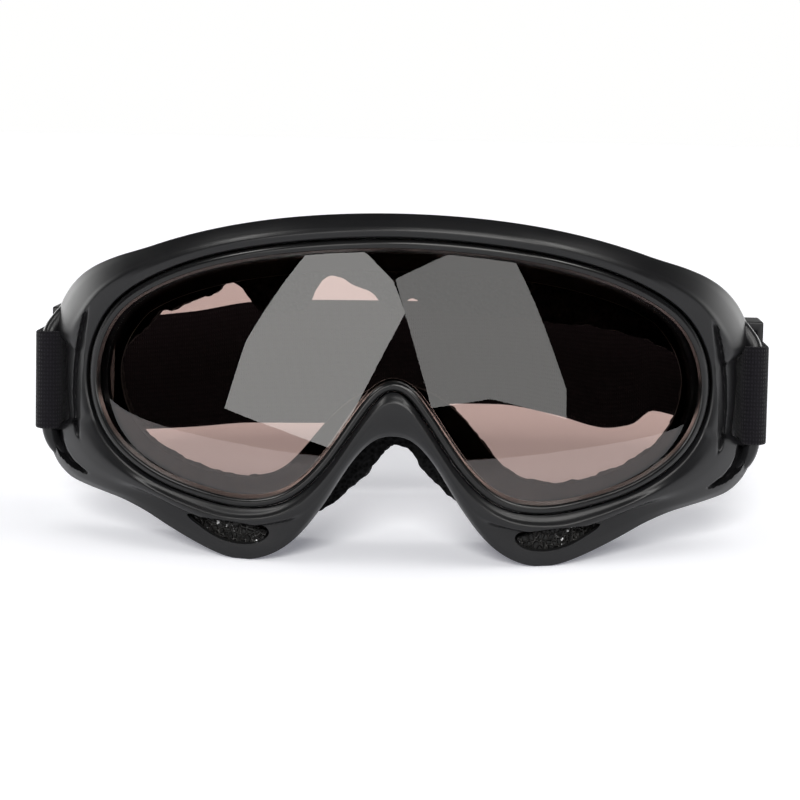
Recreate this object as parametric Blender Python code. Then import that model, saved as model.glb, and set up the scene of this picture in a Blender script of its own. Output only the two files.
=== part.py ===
"""Motorcycle goggles: a moulded front frame with a tinted lens, a soft face skirt with
foam, and an elastic strap looped round two outrigger bars.

Axes: +X to the wearer's left as seen from the front (right in a front view), +Y from the
lens towards the face and the strap, +Z up.  The goggles stand on their two lower lobes at
Z = 0.  All sizes are in millimetres until the last step, which writes metres.
"""
import math

import bmesh
import bpy

MM = 0.001

# Plan curves, seen from above
LENS_RADIUS = 110.0        # the bezel and the lens follow a cylinder of this radius
FACE_DEPTH = 36.0          # rear flange at the middle, behind the front of the bezel
FACE_WRAP = 22.0           # how much further back the flange is at HALF_WIDTH
HALF_WIDTH = 88.0
BEZEL_WALL = 12.0          # depth of the bezel's outer wall at the middle
BEZEL_WALL_TAPER = 5.0     # how much less it is at HALF_WIDTH

# Front view, right half, from the top middle round the side to the middle of the nose
OPENING = [(0, 76.7), (25, 74.9), (46, 70.7), (62, 63.8), (71, 56), (75.2, 45.5), (74.4, 35),
           (68.9, 26.2), (58, 19.6), (45.9, 16.3), (36, 15), (26.3, 17), (17.9, 24.5),
           (10.7, 35.1), (5, 42.8), (0, 45)]
BEZEL = [(0, 85), (27, 83.3), (50, 78.6), (69.5, 71.4), (80, 63.5), (84.8, 50), (84.2, 31),
         (80, 20), (66, 11.6), (50.5, 3.9), (37, -0.6), (25.5, 3.5), (17, 13.5), (10.6, 24),
         (5, 30.2), (0, 31.5)]
FLANGE = [(0, 82), (27, 80.5), (50, 76), (68, 69), (77, 61), (81, 49), (80.5, 32), (76.5, 21.5),
          (64, 13), (50, 5.5), (37, 1.2), (25.5, 4), (16.5, 14.5), (10, 24), (4.8, 29.5),
          (0, 31)]
FACE_HOLE = [(0, 66.5), (25, 65.5), (45, 62), (60, 56.5), (68, 50), (71, 43), (69.5, 33),
             (64, 25), (55, 19.5), (45, 16.5), (37, 16), (28.5, 18.5), (22, 25.5), (15.5, 33.5),
             (8, 39), (0, 41)]
FOAM_EDGE = [(0, 81.5), (27, 80), (50, 75.5), (67.5, 68.5), (76.5, 60.5), (80.5, 49), (80, 32),
             (76, 22), (63.5, 13.5), (49.5, 6), (37, 2), (25, 4.8), (12.8, 12.8), (6.4, 19.5),
             (3, 24.3), (0, 25.3)]
STEPS_PER_SPAN = 3

# Stack from front to back, as depths behind the bezel's front curve
BEZEL_CROWN = -0.4
BEZEL_BACK = 4.0
RIM_FRONT = 0.9
LENS_FRONT = 4.3
LENS_THICKNESS = 2.0
LENS_COLUMNS = 40
SHELF_FRONT = 6.6
SHELF_BACK = 9.0
GAP = 0.35                 # clearance between neighbouring pieces
RIM_WIDTH = 2.2
LENS_EDGE = 3.2            # how far the lens reaches past the opening, under the bezel
SKIN = 2.2                 # wall of the skirt
FLANGE_REACH = 5.0         # how far in front of its rear face the face flange begins
SKIRT_TAPER = 0.75         # how far the skirt has narrowed from bezel to flange outline by then
BEZEL_SKIN = 2.4           # outer wall of the bezel
ARM_BITE = 0.15            # how far inside the bezel's surfaces the outrigger's arms end
FOAM_THICKNESS = 10.0
BROW_LIFT = 1.1            # the skirt's brow stands this far above the bezel's edge
BROW_REACH = 50.0          # and fades out at this distance from the middle

# Vents
LOWER_VENT = [(30.3, 6.4), (40, 8.9), (50.6, 9.9), (45.5, 5.4), (38, 2.9), (31.8, 3.6)]
VENT_PAD_FRONT = 6.9
VENT_PAD_BACK = 9.6
VENT_PAD_GAP = 0.4
TOP_VENT_SIZE = (18.0, 5.5)      # along X and Y
TOP_VENT_X = (-52.0, -28.0, 0.0, 28.0, 52.0)
TOP_VENT_DEPTH = 17.6            # middle of a top vent, behind the bezel's front curve
TOP_FOAM_DEPTH = (14.0, 21.0)
TOP_FOAM_THICKNESS = 2.0
TOP_FOAM_RISE = 0.35             # its rear edge follows the skirt's flare this far
TOP_FOAM_HALF_LENGTH = 66.0

# Strap and its outrigger bars
STRAP_Z = 39.0
STRAP_WIDTH = 25.0
WEBBING = 1.2
BAR_X = 89.6               # middle of the bar that the strap is looped round
BAR_Y = 47.5
BAR_HALF = (2.0, 2.6)      # half sizes along X and Y
OVAL_STEPS = 16
TILT_Y = 64.0              # the strap tilts about a line through both sides here
KNUCKLE_CLEARANCE = 0.35   # between the moving webbing's round end and the fixed webbing
STRAIGHT_END_Y = 117.0     # the side bands run straight back to here
REAR_DEPTH = 23.0          # the rear curve's depth behind STRAIGHT_END_Y
REAR_STEPS = 32

# Adjusters
SLIDER_Y = 96.0
SLIDER_HALF_LENGTH = 8.0
SLIDER_BAR = 3.0           # width of each of the three bars, along Y
SLIDER_RAIL = 2.5          # height of the top and bottom rails
SLIDER_THICKNESS = 1.9
FOLD_EASE = 1.0            # room between the middle bar and the webbing folded round it
TAIL_END_Y = 84.0          # end of the sewn tail, folded round the middle bar

OUTER_FACE = BAR_X + BAR_HALF[0] + GAP + WEBBING      # outer face of the running webbing
REAR_Y = STRAIGHT_END_Y + REAR_DEPTH
CENTRE_Y = (BEZEL_CROWN + REAR_Y) / 2                 # middle of the whole depth

BLACK_PLASTIC = ((0.022, 0.022, 0.023), 0.42)
BLACK_RUBBER = ((0.015, 0.015, 0.016), 0.55)
BLACK_FOAM = ((0.012, 0.012, 0.012), 0.95)
BLACK_WEBBING = ((0.014, 0.013, 0.015), 0.90)
BROWN_LENS = ((0.20, 0.115, 0.075), 0.05)


def start_scene():
    """Empty the scene and return the empty that every piece hangs from."""
    for old in list(bpy.data.objects):
        bpy.data.objects.remove(old, do_unlink=True)
    base = bpy.data.objects.new("goggles_base", None)
    bpy.context.collection.objects.link(base)
    base.location = (0.0, -CENTRE_Y * MM, 0.0)
    return base


def make_material(name, look):
    colour, roughness = look
    material = bpy.data.materials.new(name)
    material.use_nodes = True
    shader = material.node_tree.nodes["Principled BSDF"]
    shader.inputs["Base Color"].default_value = (*colour, 1.0)
    shader.inputs["Roughness"].default_value = roughness
    shader.inputs["Metallic"].default_value = 0.0
    return material


def mesh_object(name, points, faces, base, look=None, pivot=(0.0, 0.0, 0.0)):
    """Make one object; pivot is its origin, and points are given in the goggles' frame."""
    mesh = bpy.data.meshes.new(name)
    local = [tuple((p[i] - pivot[i]) * MM for i in range(3)) for p in points]
    mesh.from_pydata(local, [], faces)
    work = bmesh.new()
    work.from_mesh(mesh)
    bmesh.ops.recalc_face_normals(work, faces=work.faces)
    work.to_mesh(mesh)
    work.free()
    mesh.shade_smooth()
    mesh.set_sharp_from_angle(angle=math.radians(35))
    piece = bpy.data.objects.new(name, mesh)
    piece.location = tuple(v * MM for v in pivot)
    piece.parent = base
    bpy.context.collection.objects.link(piece)
    if look is None:
        piece.hide_render = True
        piece.display_type = 'WIRE'
    else:
        mesh.materials.append(make_material(name, look))
    return piece


def combine(piece, tool, operation):
    modifier = piece.modifiers.new(f"{operation.lower()}_{tool.name}", 'BOOLEAN')
    modifier.operation = operation
    modifier.solver = 'EXACT'
    modifier.object = tool


# Outlines in the front view

def closed_outline(half):
    """A smooth closed loop through the half outline's points and their mirror images."""
    control = half + [(-x, z) for x, z in half[-2:0:-1]]
    count = len(control)
    loop = []
    for i in range(count):
        p0, p1, p2, p3 = (control[(i + k - 1) % count] for k in range(4))
        for step in range(STEPS_PER_SPAN):
            t = step / STEPS_PER_SPAN
            loop.append(tuple(
                0.5 * (2 * b + (c - a) * t + (2 * a - 5 * b + 4 * c - d) * t * t
                       + (3 * b - a - 3 * c + d) * t ** 3)
                for a, b, c, d in zip(p0, p1, p2, p3)))
    return loop


def offset(loop, distance):
    """The loop moved outwards by distance, square to itself."""
    count = len(loop)
    moved = []
    for i, (x, z) in enumerate(loop):
        before = loop[i - 1]
        after = loop[(i + 1) % count]
        dx = after[0] - before[0]
        dz = after[1] - before[1]
        length = math.hypot(dx, dz)
        moved.append((x - dz / length * distance, z + dx / length * distance))
    return moved


def between(inner, outer, share):
    return [(a + (c - a) * share, b + (d - b) * share)
            for (a, b), (c, d) in zip(inner, outer)]


def lifted_brow(loop):
    """Raise the top of the loop near the middle, where the brow stands up."""
    lifted = []
    for x, z in loop:
        upper = z > STRAP_Z + STRAP_WIDTH / 2
        rise = BROW_LIFT * math.exp(-(x / BROW_REACH) ** 4) if upper else 0.0
        lifted.append((x, z + rise))
    return lifted


# Plan curves

def front_y(x):
    return LENS_RADIUS - math.sqrt(LENS_RADIUS ** 2 - x ** 2)


def wall_end_y(x):
    return front_y(x) + BEZEL_WALL - BEZEL_WALL_TAPER * (x / HALF_WIDTH) ** 2


def face_y(x):
    return FACE_DEPTH + FACE_WRAP * (x / HALF_WIDTH) ** 2


def ring(loop, plan, depth):
    """The loop wrapped onto a plan curve; the lobes are flat where they meet the ground."""
    return [(x, plan(x) + depth, max(z, 0.0)) for x, z in loop]


def loft(name, rings, base, look=None):
    """A closed ring-shaped body through the given rings, the last joined to the first."""
    count = len(rings[0])
    points = [p for one in rings for p in one]
    faces = []
    for i in range(len(rings)):
        a = i * count
        b = ((i + 1) % len(rings)) * count
        for j in range(count):
            k = (j + 1) % count
            faces.append((a + j, a + k, b + k, b + j))
    return mesh_object(name, points, faces, base, look)


def stack(name, layers, base, look=None, pivot=(0.0, 0.0, 0.0)):
    """A solid through flat rings of equal length, closed by a face at both ends."""
    count = len(layers[0])
    points = [p for layer in layers for p in layer]
    faces = [tuple(range(count)), tuple(range(len(points) - count, len(points)))]
    for i in range(len(layers) - 1):
        for j in range(count):
            k = (j + 1) % count
            low = i * count
            faces.append((low + j, low + k, low + count + k, low + count + j))
    return mesh_object(name, points, faces, base, look, pivot)


# Frame

def oval_section(x, y, z, half_x, half_y):
    """A level oval, as a ring of points."""
    turn = 2 * math.pi / OVAL_STEPS
    return [(x + half_x * math.cos(turn * i), y + half_y * math.sin(turn * i), z)
            for i in range(OVAL_STEPS)]


def make_outrigger(side, base):
    """The bar beside the frame, with an arm at its top and bottom."""
    bar_top = STRAP_Z + STRAP_WIDTH / 2 + GAP
    bar_foot = STRAP_Z - STRAP_WIDTH / 2 - GAP
    half_x, half_y = BAR_HALF
    levels = [(73.6, 31.5, 69.5, 2.6, 2.8), (77.8, 35.0, 65.0, 2.9, 3.0),
              (80.8, 38.0, 60.5, 3.2, 3.0), (84.2, 42.0, 56.5, 3.2, 3.0),
              (87.8, 45.6, 53.6, 2.7, 2.8), (BAR_X, BAR_Y, bar_top, half_x, half_y),
              (BAR_X, BAR_Y, bar_foot, half_x, half_y), (87.6, 45.6, 24.3, 2.0, 2.6),
              (84.0, 42.2, 21.3, 2.0, 2.6), (80.2, 38.2, 18.6, 2.2, 2.6),
              (75.8, 34.0, 16.6, 2.6, 2.4), (72.0, 31.2, 15.4, 2.6, 2.2)]
    layers = []
    for x, y, z, size_x, size_y in levels:
        layers.append([(side * px, py, pz)
                       for px, py, pz in oval_section(x, y, z, size_x, size_y)])
    return stack(f"outrigger_{side_name(side)}", layers, base)


def side_name(side):
    return "right" if side > 0 else "left"


def vent_cutter(name, side, grow, base):
    """A prism through a lower vent, made wider all round by grow."""
    outline = vent_outline(side, grow)
    layers = [[(x, y, z) for x, z in outline] for y in (-6.0, 30.0)]
    return stack(name, layers, base)


def vent_outline(side, grow):
    middle_x = sum(x for x, _ in LOWER_VENT) / len(LOWER_VENT)
    middle_z = sum(z for _, z in LOWER_VENT) / len(LOWER_VENT)
    outline = []
    for x, z in LOWER_VENT:
        reach = math.hypot(x - middle_x, z - middle_z)
        factor = 1 + grow / reach
        outline.append((side * (middle_x + (x - middle_x) * factor),
                        middle_z + (z - middle_z) * factor))
    return outline


def make_front_frame(base, opening, bezel):
    inner = offset(opening, RIM_WIDTH + GAP)
    wall = offset(bezel, -BEZEL_SKIN)
    rings = [
        ring(inner, front_y, BEZEL_BACK),
        ring(inner, front_y, 1.4),
        ring(offset(inner, 0.9), front_y, 0.3),
        ring(between(inner, bezel, 0.45), front_y, BEZEL_CROWN),
        ring(between(inner, bezel, 0.8), front_y, 0.5),
        ring(offset(bezel, -0.5), front_y, 1.8),
        ring(bezel, front_y, 3.4),
        ring(bezel, wall_end_y, 0.0),
        ring(wall, wall_end_y, 0.0),
        ring(wall, front_y, BEZEL_BACK),
        ring(between(wall, inner, 0.35), front_y, BEZEL_BACK),
        ring(between(wall, inner, 0.7), front_y, BEZEL_BACK),
    ]
    frame = loft("front_frame", rings, base, BLACK_PLASTIC)
    clearance = arm_clearance(base, opening, bezel)
    for side in (-1, 1):
        arm = make_outrigger(side, base)
        combine(arm, clearance, 'DIFFERENCE')
        combine(frame, arm, 'UNION')
    for side in (-1, 1):
        combine(frame, vent_cutter(f"vent_cut_{side_name(side)}", side, 0.0, base), 'DIFFERENCE')
    return frame


def arm_clearance(base, opening, bezel):
    """The room that the skirt takes behind the bezel, which the arms keep out of."""
    wall = offset(bezel, ARM_BITE - BEZEL_SKIN)
    edge = offset(bezel, ARM_BITE)
    rings = [
        ring(opening, front_y, BEZEL_BACK + ARM_BITE),
        ring(wall, front_y, BEZEL_BACK + ARM_BITE),
        ring(wall, wall_end_y, -ARM_BITE),
        ring(edge, wall_end_y, -ARM_BITE),
        ring(edge, face_y, 0.0),
        ring(opening, face_y, 0.0),
    ]
    return loft("arm_clearance", rings, base)


def make_lens_rim(base, opening):
    outer = offset(opening, RIM_WIDTH)
    rings = [
        ring(opening, front_y, BEZEL_BACK),
        ring(opening, front_y, RIM_FRONT + 0.7),
        ring(between(opening, outer, 0.5), front_y, RIM_FRONT),
        ring(outer, front_y, RIM_FRONT + 0.7),
        ring(outer, front_y, BEZEL_BACK),
    ]
    return loft("lens_rim", rings, base, BLACK_PLASTIC)


def make_lens(base, opening):
    """Columns from the lower edge to the upper edge; the sheet is straight along Z."""
    edge = offset(opening, LENS_EDGE)
    half = edge[:len(edge) // 2 + 1]
    tip = max(range(len(half)), key=lambda i: half[i][0])
    tip_x, tip_z = half[tip]
    turn = math.asin(tip_x / LENS_RADIUS)
    rows = []
    for depth in (LENS_FRONT, LENS_FRONT + LENS_THICKNESS):
        lows = []
        highs = []
        for i in range(1, LENS_COLUMNS):
            x = LENS_RADIUS * math.sin(turn * (2 * i / LENS_COLUMNS - 1))
            lows.append((x, front_y(x) + depth, height_at(half[tip:], abs(x))))
            highs.append((x, front_y(x) + depth, height_at(half[:tip + 1], abs(x))))
        y = front_y(tip_x) + depth
        rows.append([(-tip_x, y, tip_z)] + lows + [(tip_x, y, tip_z)] + highs[::-1])
    count = len(rows[0])
    points = rows[0] + rows[1]
    faces = [(j, (j + 1) % count, count + (j + 1) % count, count + j) for j in range(count)]
    for first in (0, count):
        faces.append((first, first + 1, first + count - 1))
        for j in range(1, LENS_COLUMNS - 1):
            faces.append((first + j, first + j + 1, first + count - j - 1, first + count - j))
        middle = first + LENS_COLUMNS
        faces.append((middle - 1, middle, middle + 1))
    return mesh_object("lens", points, faces, base, BROWN_LENS)


def height_at(line, x):
    """Height of a line of (x, z) points, ordered along x, at x."""
    for (x0, z0), (x1, z1) in zip(line, line[1:]):
        if min(x0, x1) <= x <= max(x0, x1) and x0 != x1:
            return z0 + (z1 - z0) * (x - x0) / (x1 - x0)
    return line[-1][1]


# Face side

def skirt_loops(bezel):
    """The skirt's front edge, its tongue inside the bezel, and the tongue's inner wall."""
    wall = lifted_brow(offset(bezel, -0.3))
    tongue = offset(bezel, -BEZEL_SKIN - GAP)
    return wall, tongue, offset(tongue, -SKIN)


def rear_loops(bezel, flange):
    """The skirt's outer and inner wall where it meets the face flange."""
    wall = skirt_loops(bezel)[0]
    outer = between(wall, flange, SKIRT_TAPER)
    return outer, offset(outer, -SKIN)


def make_lens_seat(base, opening, bezel):
    """The flat lip inside the skirt's front that the lens is pressed against."""
    neck = skirt_loops(bezel)[2]
    outer = offset(neck, -GAP)
    shelf = offset(opening, 0.5)
    rings = [
        ring(shelf, front_y, SHELF_FRONT),
        ring(outer, front_y, SHELF_FRONT),
        ring(outer, front_y, SHELF_BACK),
        ring(shelf, front_y, SHELF_BACK),
    ]
    seat = loft("lens_seat", rings, base, BLACK_RUBBER)
    for side in (-1, 1):
        name = f"seat_cut_{side_name(side)}"
        combine(seat, vent_cutter(name, side, VENT_PAD_GAP, base), 'DIFFERENCE')
    return seat


def make_face_skirt(base, bezel, flange):
    """The soft side wall, from its tongue inside the bezel to the face flange."""
    wall, tongue, neck = skirt_loops(bezel)
    rear_wall, rear_inside = rear_loops(bezel, flange)
    rings = [
        ring(neck, front_y, SHELF_FRONT),
        ring(tongue, front_y, SHELF_FRONT),
        ring(tongue, wall_end_y, GAP),
        ring(offset(wall, -0.6), wall_end_y, GAP),
        ring(wall, wall_end_y, GAP + 1.0),
        ring(rear_wall, face_y, -FLANGE_REACH),
        ring(rear_inside, face_y, -FLANGE_REACH),
        ring(neck, wall_end_y, 2.6),
    ]
    skirt = loft("face_skirt", rings, base, BLACK_RUBBER)
    for side in (-1, 1):
        name = f"pad_cut_{side_name(side)}"
        combine(skirt, vent_cutter(name, side, VENT_PAD_GAP, base), 'DIFFERENCE')
    for number, x in enumerate(TOP_VENT_X, 1):
        combine(skirt, top_vent_cutter(number, x, base), 'DIFFERENCE')
    return skirt


def make_face_flange(base, bezel, flange, face_hole):
    """The rear lip of the skirt, which the face foam is glued to."""
    rear_wall, rear_inside = rear_loops(bezel, flange)
    start = GAP - FLANGE_REACH
    rings = [
        ring(rear_wall, face_y, start),
        ring(flange, face_y, -2.5),
        ring(flange, face_y, 0.0),
        ring(face_hole, face_y, 0.0),
        ring(face_hole, face_y, -2.0),
        ring(between(face_hole, flange, 0.6), face_y, -2.5),
        ring(rear_inside, face_y, start),
    ]
    return loft("face_flange", rings, base, BLACK_RUBBER)


def top_vent_cutter(number, x, base):
    half_x = TOP_VENT_SIZE[0] / 2
    half_y = TOP_VENT_SIZE[1] / 2
    y = front_y(x) + TOP_VENT_DEPTH
    layers = []
    for z in (58.0, 95.0):
        layers.append([(x - half_x, y - half_y, z), (x + half_x, y - half_y, z),
                       (x + half_x, y + half_y, z), (x - half_x, y + half_y, z)])
    return stack(f"top_vent_cut_{number}", layers, base)


def make_face_foam(base, foam_edge, face_hole):
    inner = offset(face_hole, 0.5)
    start = GAP
    back = start + FOAM_THICKNESS
    rings = [
        ring(inner, face_y, start),
        ring(foam_edge, face_y, start),
        ring(foam_edge, face_y, back - 3.0),
        ring(between(foam_edge, inner, 0.22), face_y, back),
        ring(between(foam_edge, inner, 0.75), face_y, back),
        ring(inner, face_y, back - 3.0),
    ]
    return loft("face_foam", rings, base, BLACK_FOAM)


def make_top_vent_foam(base, bezel, flange):
    """A strip just under the skirt's top wall, below the top vents."""
    neck = skirt_loops(bezel)[2]
    rear_inside = rear_loops(bezel, flange)[1]
    loops = (offset(neck, -GAP), offset(between(neck, rear_inside, TOP_FOAM_RISE), -GAP))
    reach = sum(1 for x, z in loops[0] if 0 < x <= TOP_FOAM_HALF_LENGTH and z > STRAP_Z)
    layers = []
    for depth, loop in zip(TOP_FOAM_DEPTH, loops):
        right = loop[:reach + 1]
        over = [(-x, z) for x, z in right[:0:-1]] + right
        under = [(x, z - TOP_FOAM_THICKNESS) for x, z in over]
        layers.append([(x, front_y(x) + depth, z) for x, z in over + under[::-1]])
    points = [p for layer in layers for p in layer]
    count = len(layers[0])
    faces = []
    for j in range(count):
        k = (j + 1) % count
        faces.append((j, k, count + k, count + j))
    spans = len(over) - 1
    for low in (0, count):
        for j in range(spans):
            faces.append((low + j, low + j + 1, low + count - 2 - j, low + count - 1 - j))
    return mesh_object("top_vent_foam", points, faces, base, BLACK_FOAM)


def make_vent_foam(side, base):
    outline = vent_outline(side, 0.0)
    layers = [[(x, front_y(x) + depth, z) for x, z in outline]
              for depth in (VENT_PAD_FRONT, VENT_PAD_BACK)]
    return stack(f"{side_name(side)}_vent_foam", layers, base, BLACK_FOAM)


# Strap

def band(name, path, base, look, pivot):
    """Upright webbing: a plan outline, raised from the strap's lower to its upper edge."""
    low = STRAP_Z - STRAP_WIDTH / 2
    high = STRAP_Z + STRAP_WIDTH / 2
    layers = [[(x, y, z) for x, y in path] for z in (low, high)]
    return stack(name, layers, base, look, pivot)


def knuckle_cutter(name, side, radius, centre_y, base):
    """A round prism along X, centred on the tilt line."""
    steps = 40
    layers = []
    for x in (80.0, 100.0):
        layers.append([(side * x, centre_y + radius * math.cos(2 * math.pi * i / steps),
                        STRAP_Z + radius * math.sin(2 * math.pi * i / steps))
                       for i in range(steps)])
    return stack(name, layers, base)


def round_fold(centre_x, centre_y, half_x, half_y, first, last, steps):
    """Points of a flattened arc round a bar, from angle first to last, in degrees."""
    points = []
    for i in range(steps + 1):
        angle = math.radians(first + (last - first) * i / steps)
        points.append((centre_x + half_x * math.cos(angle), centre_y + half_y * math.sin(angle)))
    return points


def mirrored(path, side):
    return [(side * x, y) for x, y in path]


def make_strap_loop(side, base):
    """The webbing's fold round the outrigger bar, ending short of the tilt line."""
    half_x, half_y = BAR_HALF
    inside = round_fold(BAR_X, BAR_Y, half_x + GAP, half_y + GAP, 180, 360, 10)
    outside = round_fold(BAR_X, BAR_Y, half_x + GAP + WEBBING, half_y + GAP + WEBBING,
                         360, 180, 10)
    leg_end = [(OUTER_FACE - WEBBING, TILT_Y), (OUTER_FACE, TILT_Y)]
    tail_x = BAR_X - half_x - GAP
    tail_end = [(tail_x - WEBBING, TILT_Y), (tail_x, TILT_Y)]
    path = inside + leg_end + outside + tail_end
    name = f"{side_name(side)}_strap_loop"
    loop = band(name, mirrored(path, side), base, BLACK_WEBBING, (side * BAR_X, BAR_Y, STRAP_Z))
    radius = STRAP_WIDTH / 2 + KNUCKLE_CLEARANCE
    cutter = knuckle_cutter(f"{name}_cut", side, radius, TILT_Y, base)
    combine(loop, cutter, 'DIFFERENCE')
    return loop


def round_front(band_piece, side, base):
    """Round the front end of moving webbing about the tilt line."""
    radius = STRAP_WIDTH / 2
    steps = 20
    layers = []
    for x in (80.0, 100.0):
        arc = []
        for i in range(steps + 1):
            angle = math.radians(90 + 180 * i / steps)
            arc.append((side * x, TILT_Y + radius * math.cos(angle),
                        STRAP_Z + radius * math.sin(angle)))
        reach = radius + 1.0
        low = [(side * x, TILT_Y, STRAP_Z - reach), (side * x, TILT_Y - reach, STRAP_Z - reach),
               (side * x, TILT_Y - reach, STRAP_Z + reach), (side * x, TILT_Y, STRAP_Z + reach)]
        layers.append(arc + low)
    cutter = stack(f"{band_piece.name}_cut", layers, base)
    combine(band_piece, cutter, 'DIFFERENCE')


def make_strap_side(side, base):
    """The running webbing, straight back from the outrigger to the rear curve."""
    front = TILT_Y - STRAP_WIDTH / 2
    inner = OUTER_FACE - WEBBING
    path = [(inner, front), (OUTER_FACE, front), (OUTER_FACE, STRAIGHT_END_Y - GAP),
            (inner, STRAIGHT_END_Y - GAP)]
    piece = band(f"{side_name(side)}_strap_side", mirrored(path, side), base, BLACK_WEBBING,
                 (0.0, TILT_Y, STRAP_Z))
    round_front(piece, side, base)
    return piece


def make_strap_tail(side, base):
    """The webbing's end, folded round the adjuster's middle bar and sewn to itself."""
    front = TILT_Y - STRAP_WIDTH / 2
    outer = BAR_X - BAR_HALF[0] - GAP
    half_bar = SLIDER_THICKNESS / 2 + GAP
    fold_x = outer + half_bar
    inside = round_fold(fold_x, SLIDER_Y, half_bar, SLIDER_BAR / 2 + FOLD_EASE,
                        180, 0, 8)
    outside = round_fold(fold_x, SLIDER_Y, half_bar + WEBBING, SLIDER_BAR / 2 + FOLD_EASE + WEBBING,
                         0, 180, 8)
    fold_end = [(fold_x + half_bar, TAIL_END_Y), (fold_x + half_bar + WEBBING, TAIL_END_Y)]
    path = [(outer - WEBBING, front), (outer, front)] + inside + fold_end + outside
    piece = band(f"{side_name(side)}_strap_tail", mirrored(path, side), base, BLACK_WEBBING,
                 (0.0, TILT_Y, STRAP_Z))
    round_front(piece, side, base)
    return piece


def make_strap_rear(base):
    """The webbing behind the head: a half ellipse between the two side bands."""
    inner = []
    outer = []
    for i in range(REAR_STEPS + 1):
        angle = math.pi * i / REAR_STEPS
        x = math.cos(angle)
        y = math.sin(angle)
        outer.append((OUTER_FACE * x, STRAIGHT_END_Y + REAR_DEPTH * y))
        inner.append(((OUTER_FACE - WEBBING) * x, STRAIGHT_END_Y + (REAR_DEPTH - WEBBING) * y))
    low = STRAP_Z - STRAP_WIDTH / 2
    high = STRAP_Z + STRAP_WIDTH / 2
    points = []
    faces = []
    for (ix, iy), (ox, oy) in zip(inner, outer):
        points += [(ix, iy, low), (ox, oy, low), (ox, oy, high), (ix, iy, high)]
    for i in range(REAR_STEPS):
        a = 4 * i
        for j in range(4):
            k = (j + 1) % 4
            faces.append((a + j, a + k, a + 4 + k, a + 4 + j))
    last = 4 * REAR_STEPS
    faces += [(0, 1, 2, 3), (last, last + 1, last + 2, last + 3)]
    return mesh_object("strap_rear", points, faces, base, BLACK_WEBBING,
                       (0.0, STRAIGHT_END_Y, STRAP_Z))


def box_layers(low, high):
    return [[(low[0], low[1], z), (high[0], low[1], z), (high[0], high[1], z),
             (low[0], high[1], z)] for z in (low[2], high[2])]


def make_slider(side, base):
    """A three-bar adjuster: the outer bars are outside the webbing, the middle one inside."""
    name = f"{side_name(side)}_slider"
    half_width = STRAP_WIDTH / 2 + GAP
    rail_low = STRAP_Z - half_width - SLIDER_RAIL
    rail_high = STRAP_Z + half_width
    inside = BAR_X - BAR_HALF[0] - GAP + GAP
    outside = OUTER_FACE + GAP
    front = SLIDER_Y - SLIDER_HALF_LENGTH
    back = SLIDER_Y + SLIDER_HALF_LENGTH
    pivot = (side * OUTER_FACE, SLIDER_Y, STRAP_Z)

    def bar(label, low, high, look=None):
        layers = box_layers(low, high)
        turned = [[(side * x, y, z) for x, y, z in layer] for layer in layers]
        return stack(label, turned, base, look, pivot)

    far = outside + SLIDER_THICKNESS
    slider = bar(name, (inside, front, rail_low), (far, back, rail_low + SLIDER_RAIL),
                 BLACK_PLASTIC)
    tools = [bar(f"{name}_top", (inside, front, rail_high),
                 (far, back, rail_high + SLIDER_RAIL))]
    for label, y in (("front_bar", front), ("back_bar", back - SLIDER_BAR)):
        tools.append(bar(f"{name}_{label}", (outside, y, rail_low + 0.5),
                         (far, y + SLIDER_BAR, rail_high + SLIDER_RAIL - 0.5)))
    tools.append(bar(f"{name}_middle_bar", (inside, SLIDER_Y - SLIDER_BAR / 2, rail_low + 0.5),
                     (inside + SLIDER_THICKNESS, SLIDER_Y + SLIDER_BAR / 2,
                      rail_high + SLIDER_RAIL - 0.5)))
    for tool in tools:
        combine(slider, tool, 'UNION')
    return slider


def main():
    base = start_scene()
    opening = closed_outline(OPENING)
    bezel = closed_outline(BEZEL)
    flange = closed_outline(FLANGE)
    face_hole = closed_outline(FACE_HOLE)
    foam_edge = closed_outline(FOAM_EDGE)
    make_front_frame(base, opening, bezel)
    make_lens_rim(base, opening)
    make_lens(base, opening)
    make_lens_seat(base, opening, bezel)
    make_face_skirt(base, bezel, flange)
    make_face_flange(base, bezel, flange, face_hole)
    make_face_foam(base, foam_edge, face_hole)
    make_top_vent_foam(base, bezel, flange)
    make_strap_rear(base)
    for side in (-1, 1):
        make_vent_foam(side, base)
        make_strap_loop(side, base)
        make_strap_side(side, base)
        make_strap_tail(side, base)
        make_slider(side, base)


main()
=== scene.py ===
"""Looks for the motorcycle goggles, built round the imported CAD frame.

Pieces are modelled in millimetres in the goggles' own frame: X to the right in a front view,
Y from the lens towards the face, Z up, with Y = 0 at the front of the plan curve.  place()
turns them into metres in the row frame.
"""
import math

import bmesh
import bpy
import numpy as np
from mathutils import Matrix, Vector, noise


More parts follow.
